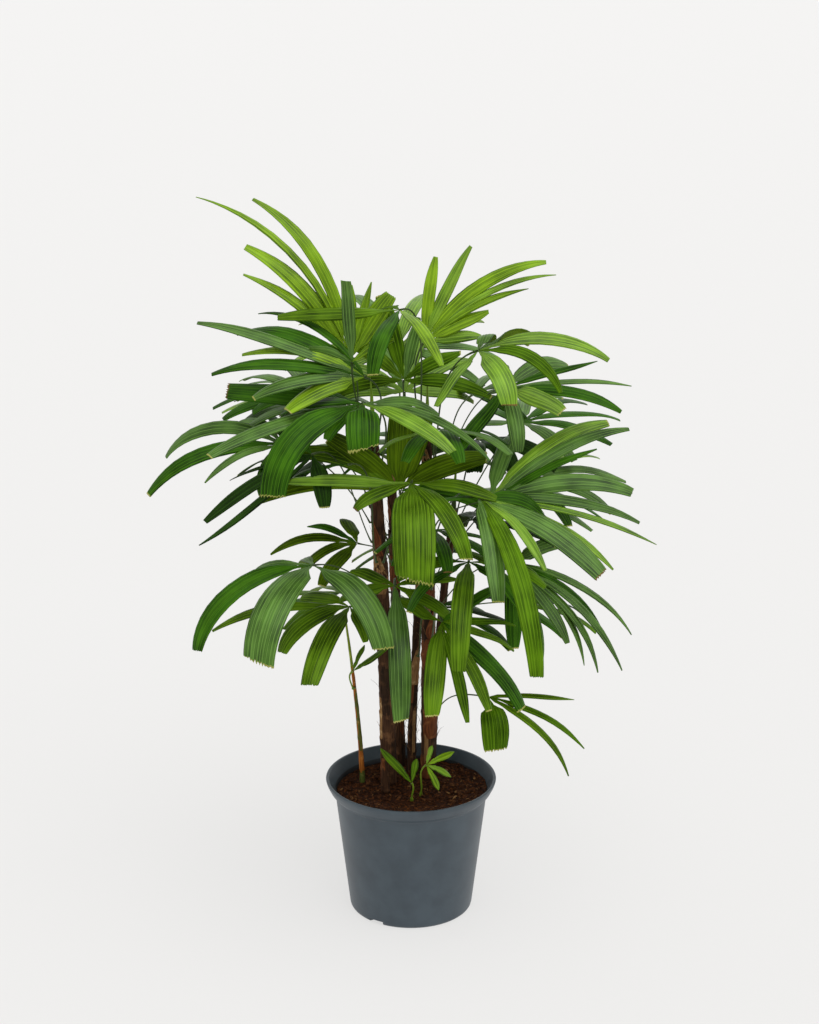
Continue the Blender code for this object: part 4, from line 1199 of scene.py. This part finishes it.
# %% Bark chips
CHIPS = 950
CHIP_SIDES = 5
chips = Joined("bark_chips", "mix", mix_browns)
chance = random.Random(7)
keep_clear = [(Vector((*foot, 0)) * CM, radius * CM) for foot, _, _, radius, _ in CANES.values()]
for _ in range(CHIPS):
    r, a = MIX_RADIUS * 0.97 * math.sqrt(chance.random()), chance.uniform(0, math.tau)
    x, y = math.cos(a) * r, math.sin(a) * r
    if any((Vector((x, y, 0)) - foot).length < size for foot, size in keep_clear):
        continue
    length = chance.uniform(3, 7) * MM if chance.random() < 0.8 else chance.uniform(7, 13) * MM
    wide, high = length * chance.uniform(0.25, 0.6), chance.uniform(0.6, 1.8) * MM
    turn, pitch = chance.uniform(0, math.tau), chance.uniform(-0.45, 0.45)
    along = Vector((math.cos(turn) * math.cos(pitch), math.sin(turn) * math.cos(pitch), math.sin(pitch)))
    side = Vector((-math.sin(turn), math.cos(turn), chance.uniform(-0.4, 0.4))).normalized()
    face = along.cross(side)
    middle = Vector((x, y, ground(x, y) + high * 0.3))
    tone = chance.choices((0, 1, 2, 3), (25, 40, 25, 10))[0]
    bend = chance.uniform(-0.2, 0.2) * length
    rows = []
    for t, narrow in ((0, 0.45), (0.3, 1.0), (0.7, 0.9), (1, 0.35)):
        point = middle + along * length * (t - 0.5) + face * bend * (4 * t * (1 - t))
        rows.append([point + side * math.cos(b) * wide / 2 * narrow + face * math.sin(b) * high / 2 * narrow
                     for b in (math.tau * q / CHIP_SIDES + 0.3 for q in range(CHIP_SIDES))])
    chips.tube(rows, lambda r, c: tone, tone, tone)
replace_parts(chips.make(smooth=False), "potting_mix")

# %% [markdown]
# ## Nursery pot
#
# The pot is injection-moulded polypropylene, slate grey with a satin skin. Down the inside of
# the wall and in the slots the same plastic is painted nearly black: painted shade. Its wall
# tapers to the foot, the lip steps out and flares to a rounded rim, and three slots at the foot
# let water drain. The profile is turned in 160 steps so the rim stays round, and the slots are
# made by pushing the foot of the wall inward over a few columns.

# %% Pot plastic
def pot_skin(name, dark, light, roughness):
    """Satin plastic with the faint unevenness of recycled resin and handling marks."""
    made, tree, shader = new_material(name, roughness, 1.49)
    place = add_node(tree, "ShaderNodeTexCoord")
    cloud = add_node(tree, "ShaderNodeTexNoise", Vector=place.outputs["Object"], Scale=28.0, Detail=4.0)
    grain = add_node(tree, "ShaderNodeTexNoise", Vector=place.outputs["Object"], Scale=900.0, Detail=2.0)
    lay_pattern(tree, shader, cloud.outputs[0], (0.35, 0.65), (dark, light),
                grain.outputs[0], 0.08, 0.3 * MM)
    return made


# The second finish is painted shade: the same plastic, nearly black, for the inside of the wall and the
# slots.
plastic = [pot_skin("moulded_polypropylene", "#333E46", "#3C4850", 0.42),
           pot_skin("polypropylene_painted_shade", "#14181B", "#1D2327", 0.5)]
print("pot finishes:", len(plastic))

# %% Pot profile
RIM = 130 * MM
POT_HEIGHT = 210 * MM
LIP = 20 * MM
FOOT_RADIUS = 93.5 * MM
WALL_TOP = 116 * MM
WALL = 2.5 * MM
POT_STEPS = 160
# The painted shade inside the pot begins this far below the rim.
INSIDE_BELOW_RIM = 2.5 * MM
# Drainage slots: compass directions, half their width in degrees, height and depth.
SLOTS = (-124.6, -4.6, 115.4)
SLOT_HALF_WIDTH = 7.5
SLOT_TOP = 6.5 * MM
SLOT_DEPTH = 9 * MM


def wall_radius(z):
    """The wall's outer radius at a height."""
    return FOOT_RADIUS + (WALL_TOP - FOOT_RADIUS) * z / (POT_HEIGHT - LIP)


def rounded(corners, radii, steps=5):
    """A profile whose corners are rounded off by quadratic curves."""
    made = [corners[0]]
    for before, here, after, size in zip(corners, corners[1:], corners[2:], radii):
        p, q, n = Vector(before), Vector(here), Vector(after)
        a = q + (p - q).normalized() * min(size, (p - q).length * 0.49)
        b = q + (n - q).normalized() * min(size, (n - q).length * 0.49)
        made += [tuple(a * (1 - t) ** 2 + q * 2 * t * (1 - t) + b * t * t)
                 for t in (k / steps for k in range(steps + 1))]
    return made + [corners[-1]]


under_lip = POT_HEIGHT - LIP
outer = rounded(
    [(0.0, 0.0), (wall_radius(0), 0.0), (wall_radius(under_lip - 4 * MM), under_lip - 4 * MM),
     (RIM - 7 * MM, under_lip + 3 * MM), (RIM - 1.5 * MM, POT_HEIGHT - 6 * MM), (RIM, POT_HEIGHT),
     (RIM - 4.5 * MM, POT_HEIGHT), (wall_radius(under_lip) - WALL, under_lip),
     (wall_radius(MIX_TOP - 14 * MM) - WALL, MIX_TOP - 14 * MM)],
    (6 * MM, 3 * MM, 2 * MM, 3 * MM, 2 * MM, 1.6 * MM, 4 * MM))
# Close rows just above the slots keep the wall's shading even there.
slot_row = next(k for k, (r, z) in enumerate(outer) if z > SLOT_TOP)
outer[slot_row:slot_row] = [(wall_radius(z), z) for z in (SLOT_TOP + up * MM for up in (0, 0.2, 0.8, 1.6))]
print("pot profile points:", len(outer))

# %% Turned body and drainage slots
def in_slot(column):
    """True where a column of the turned wall lies in a drainage slot."""
    here = 360 * column / POT_STEPS
    return any(abs((here - there + 180) % 360 - 180) < SLOT_HALF_WIDTH for there in SLOTS)


def wall_point(r, z, column):
    """A point of the turned body, pushed inward where it lies in a slot."""
    a = math.tau * column / POT_STEPS
    if in_slot(column) and r > FOOT_RADIUS - SLOT_DEPTH and z <= SLOT_TOP:
        r -= SLOT_DEPTH
    return Vector((r * math.cos(a), r * math.sin(a), z))


def pot_finish(r, column):
    """Painted shade, a near-black plastic, inside the slots and down the inside of the wall; grey
    elsewhere.
    """
    z = outer[r + 1][1]
    return 1 if r + 1 >= inside_from or (in_slot(column) and z < SLOT_TOP) else 0


widest = max(range(len(outer)), key=lambda k: outer[k][0])
# Painted shade starts at this profile point, just below the rim inside.
inside_from = next(k for k, (r, z) in enumerate(outer)
                   if k > widest and z < POT_HEIGHT - INSIDE_BELOW_RIM)
pot = Joined("nursery_pot", "pot", plastic)
rows = [[wall_point(r, z, column) for column in range(POT_STEPS)] for r, z in outer]
pot.grid(rows[1:], pot_finish, ring=True)
pot.cap(0, POT_STEPS, 0)
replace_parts(pot.make(), "pot")

# %% [markdown]
# ## Measure and finish

# %% Measure and finish
looks_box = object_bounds()
for label, (low, high) in (("cad", cad_box), ("looks", looks_box)):
    print(label, [round(v, 3) for v in low], [round(v, 3) for v in high])
